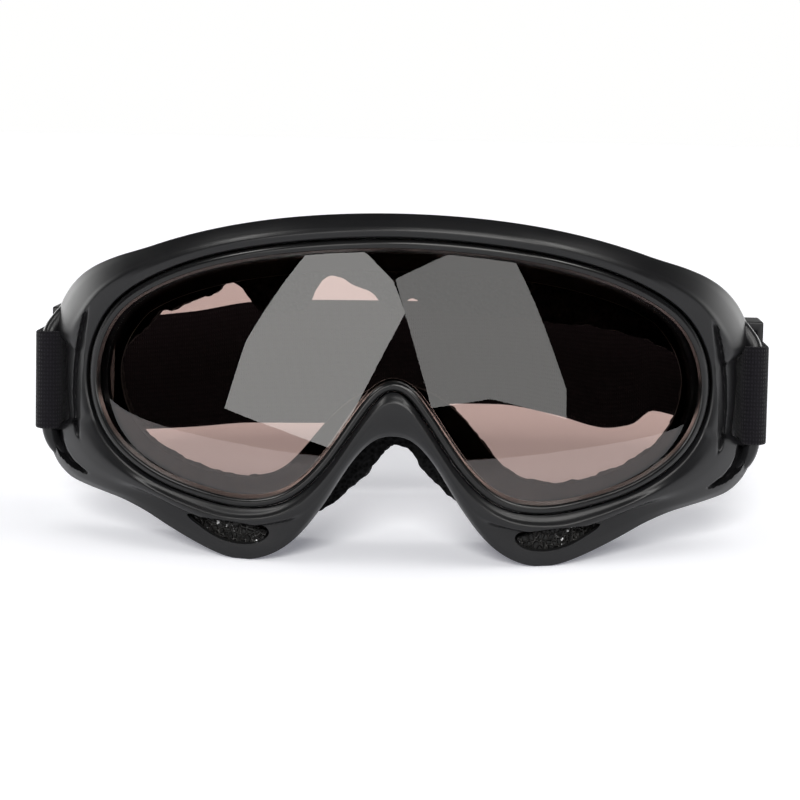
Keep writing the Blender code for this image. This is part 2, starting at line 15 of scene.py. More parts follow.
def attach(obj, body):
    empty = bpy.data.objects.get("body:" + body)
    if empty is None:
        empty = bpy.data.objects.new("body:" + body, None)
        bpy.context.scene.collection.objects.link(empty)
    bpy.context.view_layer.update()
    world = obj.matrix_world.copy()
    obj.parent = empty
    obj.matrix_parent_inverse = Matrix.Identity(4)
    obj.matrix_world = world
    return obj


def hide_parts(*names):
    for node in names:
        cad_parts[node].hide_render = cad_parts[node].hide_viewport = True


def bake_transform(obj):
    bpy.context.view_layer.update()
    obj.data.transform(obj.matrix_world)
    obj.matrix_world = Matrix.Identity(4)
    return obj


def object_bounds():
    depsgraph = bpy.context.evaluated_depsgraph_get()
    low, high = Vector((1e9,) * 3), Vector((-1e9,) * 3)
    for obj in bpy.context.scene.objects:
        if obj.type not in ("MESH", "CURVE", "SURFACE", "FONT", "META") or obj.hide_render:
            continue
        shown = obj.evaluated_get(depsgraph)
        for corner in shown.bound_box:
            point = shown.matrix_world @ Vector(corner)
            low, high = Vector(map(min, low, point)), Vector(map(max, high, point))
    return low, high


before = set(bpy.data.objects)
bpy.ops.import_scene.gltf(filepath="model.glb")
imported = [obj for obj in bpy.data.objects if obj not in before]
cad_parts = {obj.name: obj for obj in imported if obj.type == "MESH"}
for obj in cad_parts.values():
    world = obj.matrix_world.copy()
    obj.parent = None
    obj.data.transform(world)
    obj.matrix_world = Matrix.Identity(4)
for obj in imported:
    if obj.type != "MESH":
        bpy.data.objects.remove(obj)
CAD_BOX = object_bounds()

MM = 0.001
FOAM_SEED = 5
noise.seed_set(FOAM_SEED)       # the torn foam comes out the same on every run

# Driving sizes, the same as the CAD's
LENS_RADIUS = 110.0
FACE_DEPTH = 36.0
FACE_WRAP = 22.0
HALF_WIDTH = 88.0
BEZEL_WALL = 12.0
BEZEL_WALL_TAPER = 5.0
BEZEL_CROWN = -0.4
FRONT_OFFSET = CAD_BOX[0].y / MM - BEZEL_CROWN     # row Y, in millimetres, of local Y = 0

# Half outlines, from the top of the middle round to its bottom, as (distance from the middle,
# height); a place on an outline is given by its half-outline index, 0 at the top and 15 at the nose

OPENING = [(0, 76.7), (25, 74.9), (46, 70.7), (62, 63.8), (71, 56), (75.2, 45.5), (74.4, 35),
           (68.9, 26.2), (58, 19.6), (45.9, 16.3), (36, 15), (26.3, 17), (17.9, 24.5),
           (10.7, 35.1), (5, 42.8), (0, 45)]
BEZEL = [(0, 85), (27, 83.3), (50, 78.6), (69.5, 71.4), (80, 63.5), (84.8, 50), (84.2, 31),
         (80, 20), (66, 11.6), (50.5, 3.9), (37, -0.6), (25.5, 3.5), (17, 13.5), (10.6, 24),
         (5, 30.2), (0, 31.5)]
FLANGE = [(0, 82), (27, 80.5), (50, 76), (68, 69), (77, 61), (81, 49), (80.5, 32), (76.5, 21.5),
          (64, 13), (50, 5.5), (37, 1.2), (25.5, 4), (16.5, 14.5), (10, 24), (4.8, 29.5),
          (0, 31)]
FACE_HOLE = [(0, 66.5), (25, 65.5), (45, 62), (60, 56.5), (68, 50), (71, 43), (69.5, 33),
             (64, 25), (55, 19.5), (45, 16.5), (37, 16), (28.5, 18.5), (22, 25.5), (15.5, 33.5),
             (8, 39), (0, 41)]
FOAM_EDGE = [(0, 81.5), (27, 80), (50, 75.5), (67.5, 68.5), (76.5, 60.5), (80.5, 49), (80, 32),
             (76, 22), (63.5, 13.5), (49.5, 6), (37, 2), (25, 4.8), (12.8, 12.8), (6.4, 19.5),
             (3, 24.3), (0, 25.3)]
SPANS = 2 * (len(OPENING) - 1)
STEPS_PER_SPAN = 24
LOOP = SPANS * STEPS_PER_SPAN
OUTLINE_SOFTNESS = 0.3          # as a share of a span

RIM_WIDTH = 2.2
RIM_FRONT = 0.9
RIM_ROUNDING = 1.0
RIM_LIP = 0.6
RIM_LIP_DEPTH = (4.2, 3.7)
RIM_BACK = 4.0
GAP = 0.35
LENS_FRONT = 4.3
LENS_THICKNESS = 2.0
LENS_EDGE = 3.2
SHELF_FRONT = 6.6
SHELF_BACK = 9.0
BEZEL_SKIN = 2.4
SKIN = 2.2
FLANGE_REACH = 5.0
SKIRT_TAPER = 0.75
WALL_DRAFT = 0.8
FOAM_THICKNESS = 10.0

STRAP_Z = 39.0
STRAP_WIDTH = 25.0
WEBBING = 1.2
BAR_X = 89.6
BAR_Y = 47.5
BAR_HALF = (2.0, 2.6)
TILT_Y = 64.0
STRAIGHT_END_Y = 117.0
REAR_DEPTH = 23.0
OUTER_FACE = BAR_X + BAR_HALF[0] + GAP + WEBBING

SLIDER_Y = 96.0
SLIDER_BAR = 3.0
SLIDER_THICKNESS = 1.9
FOLD_EASE = 1.0
TAIL_END_Y = 84.0

TOP_VENT_SIZE = (18.0, 5.5)
TOP_VENT_X = (-52.0, -28.0, 0.0, 28.0, 52.0)
TOP_VENT_DEPTH = 17.6


# Mesh building

def place(points):
    """Millimetres in the goggles' frame to metres in the row frame."""
    moved = np.asarray(points, float).reshape(-1, 3) * MM
    moved[:, 1] += FRONT_OFFSET * MM
    return moved


def link_mesh(name, mesh):
    piece = bpy.data.objects.new(name, mesh)
    bpy.context.collection.objects.link(piece)
    return piece


def new_piece(name, points, faces, smooth_angle=40.0):
    """A smooth-shaded piece from points in millimetres, sharp where its faces meet steeply."""
    mesh = bpy.data.meshes.new(name)
    mesh.from_pydata(place(points).tolist(), [], [list(map(int, f)) for f in faces])
    work = bmesh.new()
    work.from_mesh(mesh)
    bmesh.ops.recalc_face_normals(work, faces=work.faces)
    work.to_mesh(mesh)
    work.free()
    mesh.shade_smooth()
    mesh.set_sharp_from_angle(angle=math.radians(smooth_angle))
    return link_mesh(name, mesh)


def grid_faces(rows, columns, wrap_rows=False, wrap_columns=True, first=0):
    """Quads over a grid of points stored row by row."""
    faces = []
    for i in range(rows if wrap_rows else rows - 1):
        for j in range(columns if wrap_columns else columns - 1):
            a = first + i * columns + j
            b = first + i * columns + (j + 1) % columns
            c = first + ((i + 1) % rows) * columns + (j + 1) % columns
            d = first + ((i + 1) % rows) * columns + j
            faces.append((a, b, c, d))
    return faces


def tube_faces(rows, columns, first=0):
    """Quads round a tube of rows of points, with a flat cap at each end."""
    last = first + (rows - 1) * columns
    caps = [tuple(range(start, start + columns)) for start in (first, last)]
    return grid_faces(rows, columns, first=first) + caps


def finish_piece(piece, material, body, slot, *nodes):
    """Give a piece its material and body, and hide the CAD nodes that it stands for; the slot is
    not used.
    """
    piece.data.materials.clear()
    piece.data.materials.append(material)
    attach(piece, body)
    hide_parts(*nodes)


def bending_piece(piece, material, slot, *nodes):
    """Like finish_piece, but with no body: give a piece its material and hide the CAD nodes that it
    stands for; the slot is not used.
    """
    piece.data.materials.clear()
    piece.data.materials.append(material)
    if nodes:
        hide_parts(*nodes)


def apply_modifiers(piece):
    """Replace a piece's mesh by what its modifiers make of it."""
    graph = bpy.context.evaluated_depsgraph_get()
    mesh = bpy.data.meshes.new_from_object(piece.evaluated_get(graph))
    piece.modifiers.clear()
    piece.data = mesh
    return piece


# Outlines

def catmull(p0, p1, p2, p3, t):
    """A point on the smooth curve from p1 to p2, whose neighbours are p0 and p3."""
    return 0.5 * (2 * p1 + (p2 - p0) * t + (2 * p0 - 5 * p1 + 4 * p2 - p3) * t * t
                  + (3 * p1 - p0 - 3 * p2 + p3) * t ** 3)


def smooth_curve(control, steps):
    """Points along the smooth curve from the second control point up to the last but one."""
    return [catmull(*control[i:i + 4], step / steps)
            for i in range(len(control) - 3) for step in range(steps)]


def closed_control(points):
    """The control points of a closed curve, which starts and ends at the first point."""
    return np.array([points[-1]] + points + points[:2], float)


def smooth_step(t):
    return t * t * (3 - 2 * t)


def closed_outline(half):
    """A smooth closed loop through the half outline and its mirror image, as (LOOP, 2)."""
    control = closed_control(half + [(-x, z) for x, z in half[-2:0:-1]])
    loop = np.array(smooth_curve(control, STEPS_PER_SPAN))
    return soften(loop, STEPS_PER_SPAN * OUTLINE_SOFTNESS)


def soften(loop, sigma):
    """A closed loop smoothed by a bell-shaped average, sigma points wide."""
    reach = int(sigma * 3)
    weights = np.exp(-0.5 * (np.arange(-reach, reach + 1) / sigma) ** 2)
    weights /= weights.sum()
    out = np.zeros_like(loop)
    for shift, weight in zip(range(-reach, reach + 1), weights):
        out += weight * np.roll(loop, shift, axis=0)
    return out


def unit(rows):
    """Every row scaled to a length of one."""
    return rows / np.linalg.norm(rows, axis=1)[:, None]


def normals_of(loop):
    """Unit vectors pointing out of a loop at every point."""
    step = unit(np.roll(loop, -1, axis=0) - np.roll(loop, 1, axis=0))
    return np.stack([-step[:, 1], step[:, 0]], axis=1)


def offset(loop, distance):
    """The loop moved outwards; distance may be one number or one for each point."""
    reach = np.broadcast_to(np.asarray(distance, float), (len(loop),))
    return loop + normals_of(loop) * reach[:, None]


def between(inner, outer, share):
    return inner + (outer - inner) * share


# Plan curves

def front_y(x):
    """The plan curve that the lens and the bezel follow."""
    x = np.clip(np.abs(x), 0.0, LENS_RADIUS * 0.98)
    return LENS_RADIUS - np.sqrt(LENS_RADIUS ** 2 - x ** 2)


def wall_end_y(x):
    """Where the bezel's wall ends."""
    return front_y(x) + BEZEL_WALL - BEZEL_WALL_TAPER * (x / HALF_WIDTH) ** 2


def face_y(x):
    """The back of the skirt's flange, which wraps round the face."""
    return FACE_DEPTH + FACE_WRAP * (x / HALF_WIDTH) ** 2


def ring(loop, plan, depth):
    """A loop laid at a depth behind a plan curve, and kept above the table."""
    x = loop[:, 0]
    z = np.maximum(loop[:, 1], 0.0)
    return np.stack([x, plan(x) + depth, z], axis=1)


def loft(name, rings, smooth_angle=40.0):
    """A closed ring-shaped body through the rings, the last joined to the first."""
    points = np.concatenate(rings)
    faces = grid_faces(len(rings), len(rings[0]), wrap_rows=True)
    return new_piece(name, points, faces, smooth_angle)


def half_index():
    """The half-outline index of every loop point."""
    place = np.arange(LOOP) / STEPS_PER_SPAN
    return np.where(place > SPANS / 2, SPANS - place, place)


def along_half(keys):
    """Values at every loop point from values keyed by half-outline index, smoothly joined."""
    places = np.array([k[0] for k in keys], float)
    values = np.array([k[1] for k in keys], float)
    values = values.reshape(len(keys), -1)
    out = np.empty((LOOP, values.shape[1]))
    for n, at in enumerate(half_index()):
        i = int(np.clip(np.searchsorted(places, at) - 1, 0, len(places) - 2))
        t = np.clip((at - places[i]) / (places[i + 1] - places[i]), 0.0, 1.0)
        out[n] = values[i] + (values[i + 1] - values[i]) * smooth_step(t)
    return out


# Front frame

# Sections of the bezel's face: (share of the face's width, depth behind the plan curve)
TOP_SECTION = [(0.0, 2.6), (0.05, 1.0), (0.14, 0.5), (0.3, 0.2), (0.44, 0.5), (0.62, 1.3),
               (0.82, 2.4), (1.0, 3.6)]
CORNER_SECTION = [(0.0, 2.6), (0.04, 1.0), (0.11, 0.5), (0.28, -0.2), (0.4, -0.4),
                  (0.52, 0.5), (0.82, 3.3), (1.0, 5.6)]
SIDE_SECTION = [(0.0, 2.6), (0.05, 1.0), (0.14, 0.3), (0.3, -0.1), (0.5, 0.3), (0.7, 1.1),
                (0.88, 2.3), (1.0, 4.0)]
LOWER_SIDE_SECTION = [(0.0, 2.6), (0.05, 1.0), (0.14, 0.4), (0.25, 0.0), (0.4, 0.4),
                      (0.62, 1.6), (0.86, 3.0), (1.0, 5.0)]
SHELF_SECTION = [(0.0, 1.6), (0.04, 1.2), (0.12, 0.7), (0.26, -0.4), (0.37, 0.1), (0.43, 3.4),
                 (0.76, 3.4), (1.0, 3.8)]
LOBE_SECTION = [(0.0, 1.6), (0.04, 1.2), (0.1, 0.8), (0.2, -0.3), (0.3, 0.1), (0.36, 3.4),
                (0.76, 3.2), (1.0, 3.6)]
NOSE_SECTION = [(0.0, 1.2), (0.04, 0.8), (0.1, 0.4), (0.24, -0.3), (0.45, -0.1), (0.66, 0.8),
                (0.87, 2.3), (1.0, 4.0)]
SECTIONS = [(0.0, TOP_SECTION), (2.4, TOP_SECTION), (3.4, CORNER_SECTION), (4.4, CORNER_SECTION),
            (5.0, SIDE_SECTION), (6.2, SIDE_SECTION), (7.0, LOWER_SIDE_SECTION),
            (7.6, LOWER_SIDE_SECTION), (8.3, SHELF_SECTION), (9.4, SHELF_SECTION),
            (10.0, LOBE_SECTION), (10.7, LOBE_SECTION), (11.5, NOSE_SECTION),
            (15.0, NOSE_SECTION)]
# How far the ears reach past the bezel's outline, above and below the strap's slot
UPPER_EAR = [(0.0, 0.0), (2.5, 0.0), (3.1, 0.9), (3.6, 1.9), (4.0, 2.9), (4.4, 3.9), (4.8, 4.5),
             (4.94, 4.5), (5.02, 0.0), (5.2, 0.0)]
LOWER_EAR = [(6.2, 0.0), (6.32, 7.4), (6.5, 7.9), (6.7, 7.9), (7.0, 7.0), (7.3, 4.8), (7.6, 2.8),
             (8.0, 0.8), (8.4, 0.0), (15.0, 0.0)]
EAR_THICKNESS = 4.5
# The slot between the body and the lower arm, as (half-outline index, near edge, far edge),
# both measured out from the bezel's outline
ARM_SLOT = [(6.36, 2.6, 6.0), (6.7, 3.0, 5.7), (6.9, 2.3, 4.2), (7.16, 1.2, 1.7)]
ARM_SLOT_DEPTH = 4.6
ARM_SLOT_EASE = 0.35
ARM_SLOT_END = 0.12             # over how much of a span the slot runs out
FACE_STEPS = 56
FACE_CROWDING = 1.15            # more rings near the lens
SECTION_SOFTNESS = 0.25         # as a share of a span

# The side grooves: outer and inner edges, as (distance from the middle, height)
GROOVE_OUTER = [(77.4, 59.1), (79.0, 56.9), (80.4, 51.6), (81.7, 44.1), (82.1, 36.7),
                (81.7, 29.7), (80.9, 26.4), (79.8, 25.0)]
GROOVE_INNER = [(77.4, 59.1), (77.9, 54.7), (78.6, 48.6), (79.3, 41.5), (79.8, 34.5),
                (79.9, 28.0), (79.8, 25.0)]
GROOVE_DEPTH = 2.0
GROOVE_EASE = 0.30
GROOVE_RUN_OUT = 2.5


def line_at(line, heights):
    """x of a line of (x, z) points at the given heights."""
    ordered = sorted(line, key=lambda p: p[1])
    return np.interp(heights, [p[1] for p in ordered], [p[0] for p in ordered])


def groove_depth(x, z):
    """Extra depth of the crescent groove at each side, deepest against its outer edge."""
    low = GROOVE_OUTER[-1][1]
    high = GROOVE_OUTER[0][1]
    inside = line_at(GROOVE_INNER, z)
    outside = line_at(GROOVE_OUTER, z)
    wide = np.maximum(outside - inside, 1e-3)
    share = (np.abs(x) - inside) / wide
    ease = GROOVE_EASE / wide
    rise = np.clip(share, 0.0, 1.0) ** 0.8
    fall = np.clip((1.0 + ease - share) / (2 * ease), 0.0, 1.0)
    ends = np.clip((z - low) / GROOVE_RUN_OUT, 0, 1) * np.clip((high - z) / GROOVE_RUN_OUT, 0, 1)
    depth = GROOVE_DEPTH * rise * fall * ends
    return np.where((share > 0.0) & (z > low) & (z < high), depth, 0.0)


def smooth_line(places, values, at):
    """A monotone cubic through the values given at the places."""
    step = np.diff(places)
    slope = np.diff(values) / step
    tangent = np.empty(len(places))
    tangent[0] = slope[0]
    tangent[-1] = slope[-1]
    for i in range(1, len(slope)):
        if slope[i - 1] * slope[i] <= 0:
            tangent[i] = 0.0
        else:
            tangent[i] = 2 * slope[i - 1] * slope[i] / (slope[i - 1] + slope[i])
    i = np.clip(np.searchsorted(places, at, side="right") - 1, 0, len(step) - 1)
    t = (at - places[i]) / step[i]
    h00 = (1 + 2 * t) * (1 - t) ** 2
    h10 = t * (1 - t) ** 2
    h01 = smooth_step(t)
    h11 = t * t * (t - 1)
    return (h00 * values[i] + h10 * step[i] * tangent[i] + h01 * values[i + 1]
            + h11 * step[i] * tangent[i + 1])


def ear_reach():
    """How far the edge stands out from the bezel's outline at every loop point."""
    at = half_index()
    upper_places, upper_reach = np.array(UPPER_EAR).T
    lower_places, lower_reach = np.array(LOWER_EAR).T
    upper = smooth_line(upper_places, upper_reach, np.minimum(at, upper_places[-1]))
    lower = smooth_line(lower_places, lower_reach, np.maximum(at, lower_places[0]))
    reach = np.where(at < upper_places[-1], upper, lower)
    return soften(np.maximum(reach, 0.0)[:, None], 1.2)[:, 0]


def arm_slot_depth(column, out):
    """Extra depth of the slot inside the lower arm, at a distance out from the outline."""
    places, near, far = np.array(ARM_SLOT).T
    at = half_index()[column]
    if not places[0] <= at <= places[-1]:
        return 0.0
    rise = np.clip((out - np.interp(at, places, near)) / ARM_SLOT_EASE + 0.5, 0, 1)
    fall = np.clip((np.interp(at, places, far) - out) / ARM_SLOT_EASE + 0.5, 0, 1)
    shallow = np.clip((places[-1] - at) / ARM_SLOT_END, 0, 1)
    return ARM_SLOT_DEPTH * rise * fall * shallow


def bezel_face(inner, edge, reach):
    """Rings over the bezel's face, from the rim's groove to the outer edge."""
    sections = along_half([(at, np.array(s).ravel()) for at, s in SECTIONS])
    sections = soften(sections, STEPS_PER_SPAN * SECTION_SOFTNESS)
    shares = np.linspace(0.0, 1.0, FACE_STEPS) ** FACE_CROWDING
    depths = np.empty((FACE_STEPS, LOOP))
    width = np.linalg.norm(edge - inner, axis=1)
    for j in range(LOOP):
        points = sections[j].reshape(-1, 2)
        depths[:, j] = smooth_line(points[:, 0], points[:, 1], shares)
        if reach[j] > 1.0:
            out = (shares - 1.0) * width[j] + reach[j]
            depths[:, j] += arm_slot_depth(j, out)
    rings = []
    for i, share in enumerate(shares):
        flat = between(inner, edge, share)
        depth = depths[i] + groove_depth(flat[:, 0], flat[:, 1])
        rings.append(np.stack([flat[:, 0], front_y(flat[:, 0]) + depth,
                               np.maximum(flat[:, 1], 0.0)], axis=1))
    return rings


# The outrigger's stations from top to bottom, as (x, y, z, half width, half depth)
OUTRIGGER = [(84.8, 48.6, 57.5, 1.9, 2.0), (87.2, 48.6, 54.6, 2.0, 2.2),
             (89.0, 48.0, 52.0, 2.0, 2.4), (BAR_X, BAR_Y, 49.5, *BAR_HALF),
             (BAR_X, BAR_Y, 44.0, *BAR_HALF), (BAR_X, BAR_Y, 39.0, *BAR_HALF),
             (BAR_X, BAR_Y, 33.0, *BAR_HALF), (BAR_X, BAR_Y, 28.0, *BAR_HALF),
             (89.3, 48.0, 25.2, 2.0, 2.5), (88.4, 49.2, 22.4, 1.9, 2.3),
             (86.6, 49.6, 19.8, 1.6, 2.0)]
OUTRIGGER_STEPS = 6
OUTRIGGER_SIDES = 32


def outrigger(side):
    """The bar that the strap is looped round, with its curved ends inside the ears."""
    control = np.array([OUTRIGGER[0]] + OUTRIGGER + [OUTRIGGER[-1]], float)
    stations = np.array(smooth_curve(control, OUTRIGGER_STEPS) + [control[-1]])
    centre = stations[:, :3] * np.array([side, 1, 1])
    tangent = unit(np.gradient(centre, axis=0))
    outward = unit(np.cross(tangent, np.array([0.0, 1.0, 0.0])))
    back = np.cross(tangent, outward)
    turn = np.linspace(0, 2 * math.pi, OUTRIGGER_SIDES, endpoint=False)
    points = []
    for c, o, b, station in zip(centre, outward, back, stations):
        for a in turn:
            points.append(c + o * station[3] * math.cos(a) + b * station[4] * math.sin(a))
    return new_piece(f"outrigger_{side}", points, tube_faces(len(stations), len(turn)))


# The vent in each lobe, as (distance from the middle, height), and how deep its cut goes
LOWER_VENT = [(30.0, 6.0), (30.3, 8.0), (34.0, 9.0), (41.0, 9.7), (49.6, 9.9), (50.2, 9.0),
              (47.6, 7.2), (44.0, 5.2), (40.5, 4.0), (36.3, 3.6), (32.6, 4.2)]
VENT_CUT_Y = (-8.0, 30.0)
VENT_STEPS = 6


def vent_cutter(side):
    """A solid that cuts one lobe's vent through the bezel and the skirt."""
    outline = np.array(smooth_curve(closed_control(LOWER_VENT), VENT_STEPS))
    rows = []
    for y in VENT_CUT_Y:
        rows.append(np.stack([side * outline[:, 0], np.full(len(outline), y), outline[:, 1]],
                             axis=1))
    return new_piece(f"vent_cut_{side}", np.concatenate(rows), tube_faces(2, len(outline)))


def boolean(piece, tool, operation):
    """Join a tool to a piece or cut it out, and remove the tool."""
    modifier = piece.modifiers.new(operation, 'BOOLEAN')
    modifier.operation = operation
    modifier.solver = 'EXACT'
    modifier.object = tool
    apply_modifiers(piece)
    bpy.data.objects.remove(tool, do_unlink=True)


RIM_GROOVE_DEPTH = 4.0
WALL_FRONT_DEPTH = 4.2
EDGE_TURN = 0.8


def make_front_frame():
    """The bezel, from the rim's groove over its face and back inside its wall."""
    opening = closed_outline(OPENING)
    bezel = closed_outline(BEZEL)
    inner = offset(opening, RIM_WIDTH + GAP)
    reach = ear_reach()
    edge = offset(bezel, reach)
    wall = offset(bezel, -BEZEL_SKIN)
    rings = [ring(inner, front_y, RIM_GROOVE_DEPTH), ring(inner, front_y, RIM_GROOVE_DEPTH - 0.6)]
    face = bezel_face(inner, edge, reach)
    rings += face
    # Round the edge over, then come back to the wall behind the ears
    last = face[-1]
    share = np.clip(reach / 3.0, 0.0, 1.0)
    limit = wall_end_y(bezel[:, 0]) - 0.5
    for inset, back in ((0.0, 0.7), (0.0, 0.75), (0.35, 0.95), (1.0, 1.0)):
        turned = last.copy()
        drop = EDGE_TURN + EAR_THICKNESS * share
        flat = offset(edge, -np.minimum(inset, reach + 0.2 * inset))
        turned[:, 0] = flat[:, 0]
        turned[:, 2] = np.maximum(flat[:, 1], 0.0)
        turned[:, 1] = last[:, 1] + drop * back
        rings.append(turned)
    behind = rings[-1].copy()
    behind[:, 0] = bezel[:, 0]
    behind[:, 2] = np.maximum(bezel[:, 1], 0.0)
    behind[:, 1] = np.maximum(np.minimum(behind[:, 1], limit), last[:, 1] + 1.0)
    rings.append(behind)
    drafted = offset(bezel, -WALL_DRAFT)
    stop = ring(drafted, wall_end_y, -0.3)
    stop[:, 1] = np.maximum(stop[:, 1], behind[:, 1] + 0.2)
    rings.append(stop)
    end = ring(offset(bezel, -WALL_DRAFT - 0.3), wall_end_y, 0.0)
    end[:, 1] = np.maximum(end[:, 1], stop[:, 1] + 0.2)
    rings.append(end)
    inside = ring(wall, wall_end_y, 0.0)
    inside[:, 1] = end[:, 1]
    rings.append(inside)
    rings.append(ring(wall, front_y, WALL_FRONT_DEPTH))
    rings.append(ring(between(wall, inner, 0.5), front_y, WALL_FRONT_DEPTH))
    body = loft("front_frame_shell", rings)
    for side in (-1, 1):
        boolean(body, outrigger(side), 'UNION')
    for side in (-1, 1):
        boolean(body, vent_cutter(side), 'DIFFERENCE')
    body.data.shade_smooth()
    body.data.set_sharp_from_angle(angle=math.radians(48))
    return body


def make_rim():
    """The bead round the lens: a rounded front, and a small lip inside it."""
    opening = closed_outline(OPENING)
    rings = [ring(offset(opening, -RIM_LIP), front_y, depth) for depth in RIM_LIP_DEPTH]
    for a in np.linspace(0, math.pi, 13):
        share = 0.5 - 0.5 * math.cos(a)
        depth = RIM_FRONT + RIM_ROUNDING - RIM_ROUNDING * math.sin(a)
        rings.append(ring(offset(opening, share * RIM_WIDTH), front_y, depth))
    rings.append(ring(offset(opening, RIM_WIDTH), front_y, RIM_BACK))
    return loft("rim_bead", rings)


# Lens

LENS_BULGE = 1.8
LENS_MIDDLE_Z = 45.0
LENS_BULGE_REACH = 34.0
LENS_MARGIN = 0.9995            # keeps the last column inside the outline's tip
LENS_ROWS = 40
LENS_COLUMNS = 160


def make_lens():
    """The lens: a sheet bent round the plan curve and bulging a little in its middle."""
    edge = offset(closed_outline(OPENING), LENS_EDGE)
    half = edge[:LOOP // 2 + 1]
    tip = int(np.argmax(half[:, 0]))
    tip_x = half[tip, 0]
    turn = math.asin(tip_x / LENS_RADIUS)
    upper = half[:tip + 1]
    lower = half[tip:][::-1]
    sides = []
    for depth in (LENS_FRONT, LENS_FRONT + LENS_THICKNESS):
        points = []
        for i in range(LENS_COLUMNS + 1):
            x = LENS_RADIUS * math.sin(turn * (2 * i / LENS_COLUMNS - 1) * LENS_MARGIN)
            top = np.interp(abs(x), upper[:, 0], upper[:, 1])
            low = np.interp(abs(x), lower[:, 0], lower[:, 1])
            for j in range(LENS_ROWS + 1):
                share = j / LENS_ROWS
                z = low + (top - low) * share
                height = (z - LENS_MIDDLE_Z) / LENS_BULGE_REACH
                bulge = LENS_BULGE * max(0.0, 1 - height ** 2)
                fade = max(0.0, 1 - (abs(x) / tip_x) ** 6)
                points.append((x, float(front_y(x)) + depth - bulge * fade, z))
        sides.append(points)
    count = (LENS_ROWS + 1) * (LENS_COLUMNS + 1)
    faces = []
    for n in range(2):
        faces += grid_faces(LENS_COLUMNS + 1, LENS_ROWS + 1, wrap_columns=False, first=n * count)
    rows = LENS_ROWS + 1
    border = [i * rows for i in range(LENS_COLUMNS + 1)]
    border += [LENS_COLUMNS * rows + j for j in range(1, rows)]
    border += [i * rows + LENS_ROWS for i in range(LENS_COLUMNS - 1, -1, -1)]
    border += [j for j in range(LENS_ROWS - 1, 0, -1)]
    for a, b in zip(border, border[1:] + border[:1]):
        faces.append((a, b, b + count, a + count))
    return new_piece("lens_sheet", sides[0] + sides[1], faces, 60.0)


# Soft face side

HOLE_LIFT = 2.6                 # raises the hole's top above the torn foam's hanging edge
TOP_EDGE_START = 46.0           # from this height up, over TOP_EDGE_EASE, an edge counts as the top
TOP_EDGE_EASE = 8.0
SEAT_OVERLAP = (0.1, 1.7)
FLANGE_THICKNESS = 2.0
TONGUE_BACK = 2.6
TOP_VENT_CUT_Z = (58.0, 95.0)


def top_share(loop):
    """0 for the sides and the bottom of a loop, and 1 for its top."""
    return np.clip((loop[:, 1] - TOP_EDGE_START) / TOP_EDGE_EASE, 0.0, 1.0)


def make_skirt():
    """The soft moulding: lens seat, tapering wall and face flange in one."""
    opening = closed_outline(OPENING)
    bezel = closed_outline(BEZEL)
    flange = closed_outline(FLANGE)
    hole = closed_outline(FACE_HOLE)
    wall = offset(bezel, -WALL_DRAFT)
    tongue = offset(bezel, -BEZEL_SKIN - GAP)
    neck = offset(tongue, -SKIN)
    seat_front, seat_back = (offset(opening, reach) for reach in SEAT_OVERLAP)
    hole[:, 1] += HOLE_LIFT * top_share(hole)

    rear_wall = between(wall, flange, SKIRT_TAPER)
    rear_inside = offset(rear_wall, -SKIN)
    rings = [ring(seat_front, front_y, SHELF_FRONT), ring(tongue, front_y, SHELF_FRONT),
             ring(tongue, wall_end_y, GAP), ring(offset(wall, -0.6), wall_end_y, GAP),
             ring(offset(wall, -0.15), wall_end_y, GAP + 0.25), ring(wall, wall_end_y, GAP + 0.8)]
    start = rings[-1]
    stop = ring(rear_wall, face_y, -FLANGE_REACH)
    for share in (0.25, 0.5, 0.75):
        rings.append(start + (stop - start) * share)
    rings += [stop, ring(between(rear_wall, flange, 0.7), face_y, -3.2),
              ring(flange, face_y, -2.4), ring(flange, face_y, -0.3),
              ring(offset(flange, -0.3), face_y, 0.0), ring(hole, face_y, 0.0),
              ring(offset(hole, -0.2), face_y, -FLANGE_THICKNESS / 2),
              ring(hole, face_y, -FLANGE_THICKNESS),
              ring(between(hole, flange, 0.6), face_y, -2.5),
              ring(rear_inside, face_y, -FLANGE_REACH),
              ring(neck, wall_end_y, TONGUE_BACK), ring(neck, front_y, SHELF_BACK),
              ring(seat_back, front_y, SHELF_BACK)]
    skirt = loft("skirt_shell", rings)
    for number, x in enumerate(TOP_VENT_X, 1):
        boolean(skirt, top_vent_cutter(number, x), 'DIFFERENCE')
    for side in (-1, 1):
        boolean(skirt, vent_cutter(side), 'DIFFERENCE')
    skirt.data.shade_smooth()
    skirt.data.set_sharp_from_angle(angle=math.radians(40))
    return skirt


def top_vent_cutter(number, x):
    """A slot with round ends, standing through the skirt's top wall."""
    half_x = TOP_VENT_SIZE[0] / 2
    half_y = TOP_VENT_SIZE[1] / 2
    radius = half_y * 0.6
    outline = []
    for corner, (cx, cy) in enumerate(((1, 1), (-1, 1), (-1, -1), (1, -1))):
        for step in range(7):
            a = math.radians(90 * corner + 15 * step)
            outline.append((x + cx * (half_x - radius) + radius * math.cos(a),
                            float(front_y(x)) + TOP_VENT_DEPTH + cy * (half_y - radius)
                            + radius * math.sin(a)))
    points = [(px, py, z) for z in TOP_VENT_CUT_Z for px, py in outline]
    return new_piece(f"top_vent_cut_{number}", points, tube_faces(2, len(outline)))


def rough_foam(points, size, reach, seed):
    """Move points by a smooth noise field, as the foam's torn open cells do."""
    moved = np.array(points, float)
    drift = Vector((seed * 17.3, seed * 5.1, seed * 9.7))
    for p in moved:
        v = Vector(p) / size + drift
        p += np.array(noise.noise_vector(v)) * reach
    return moved


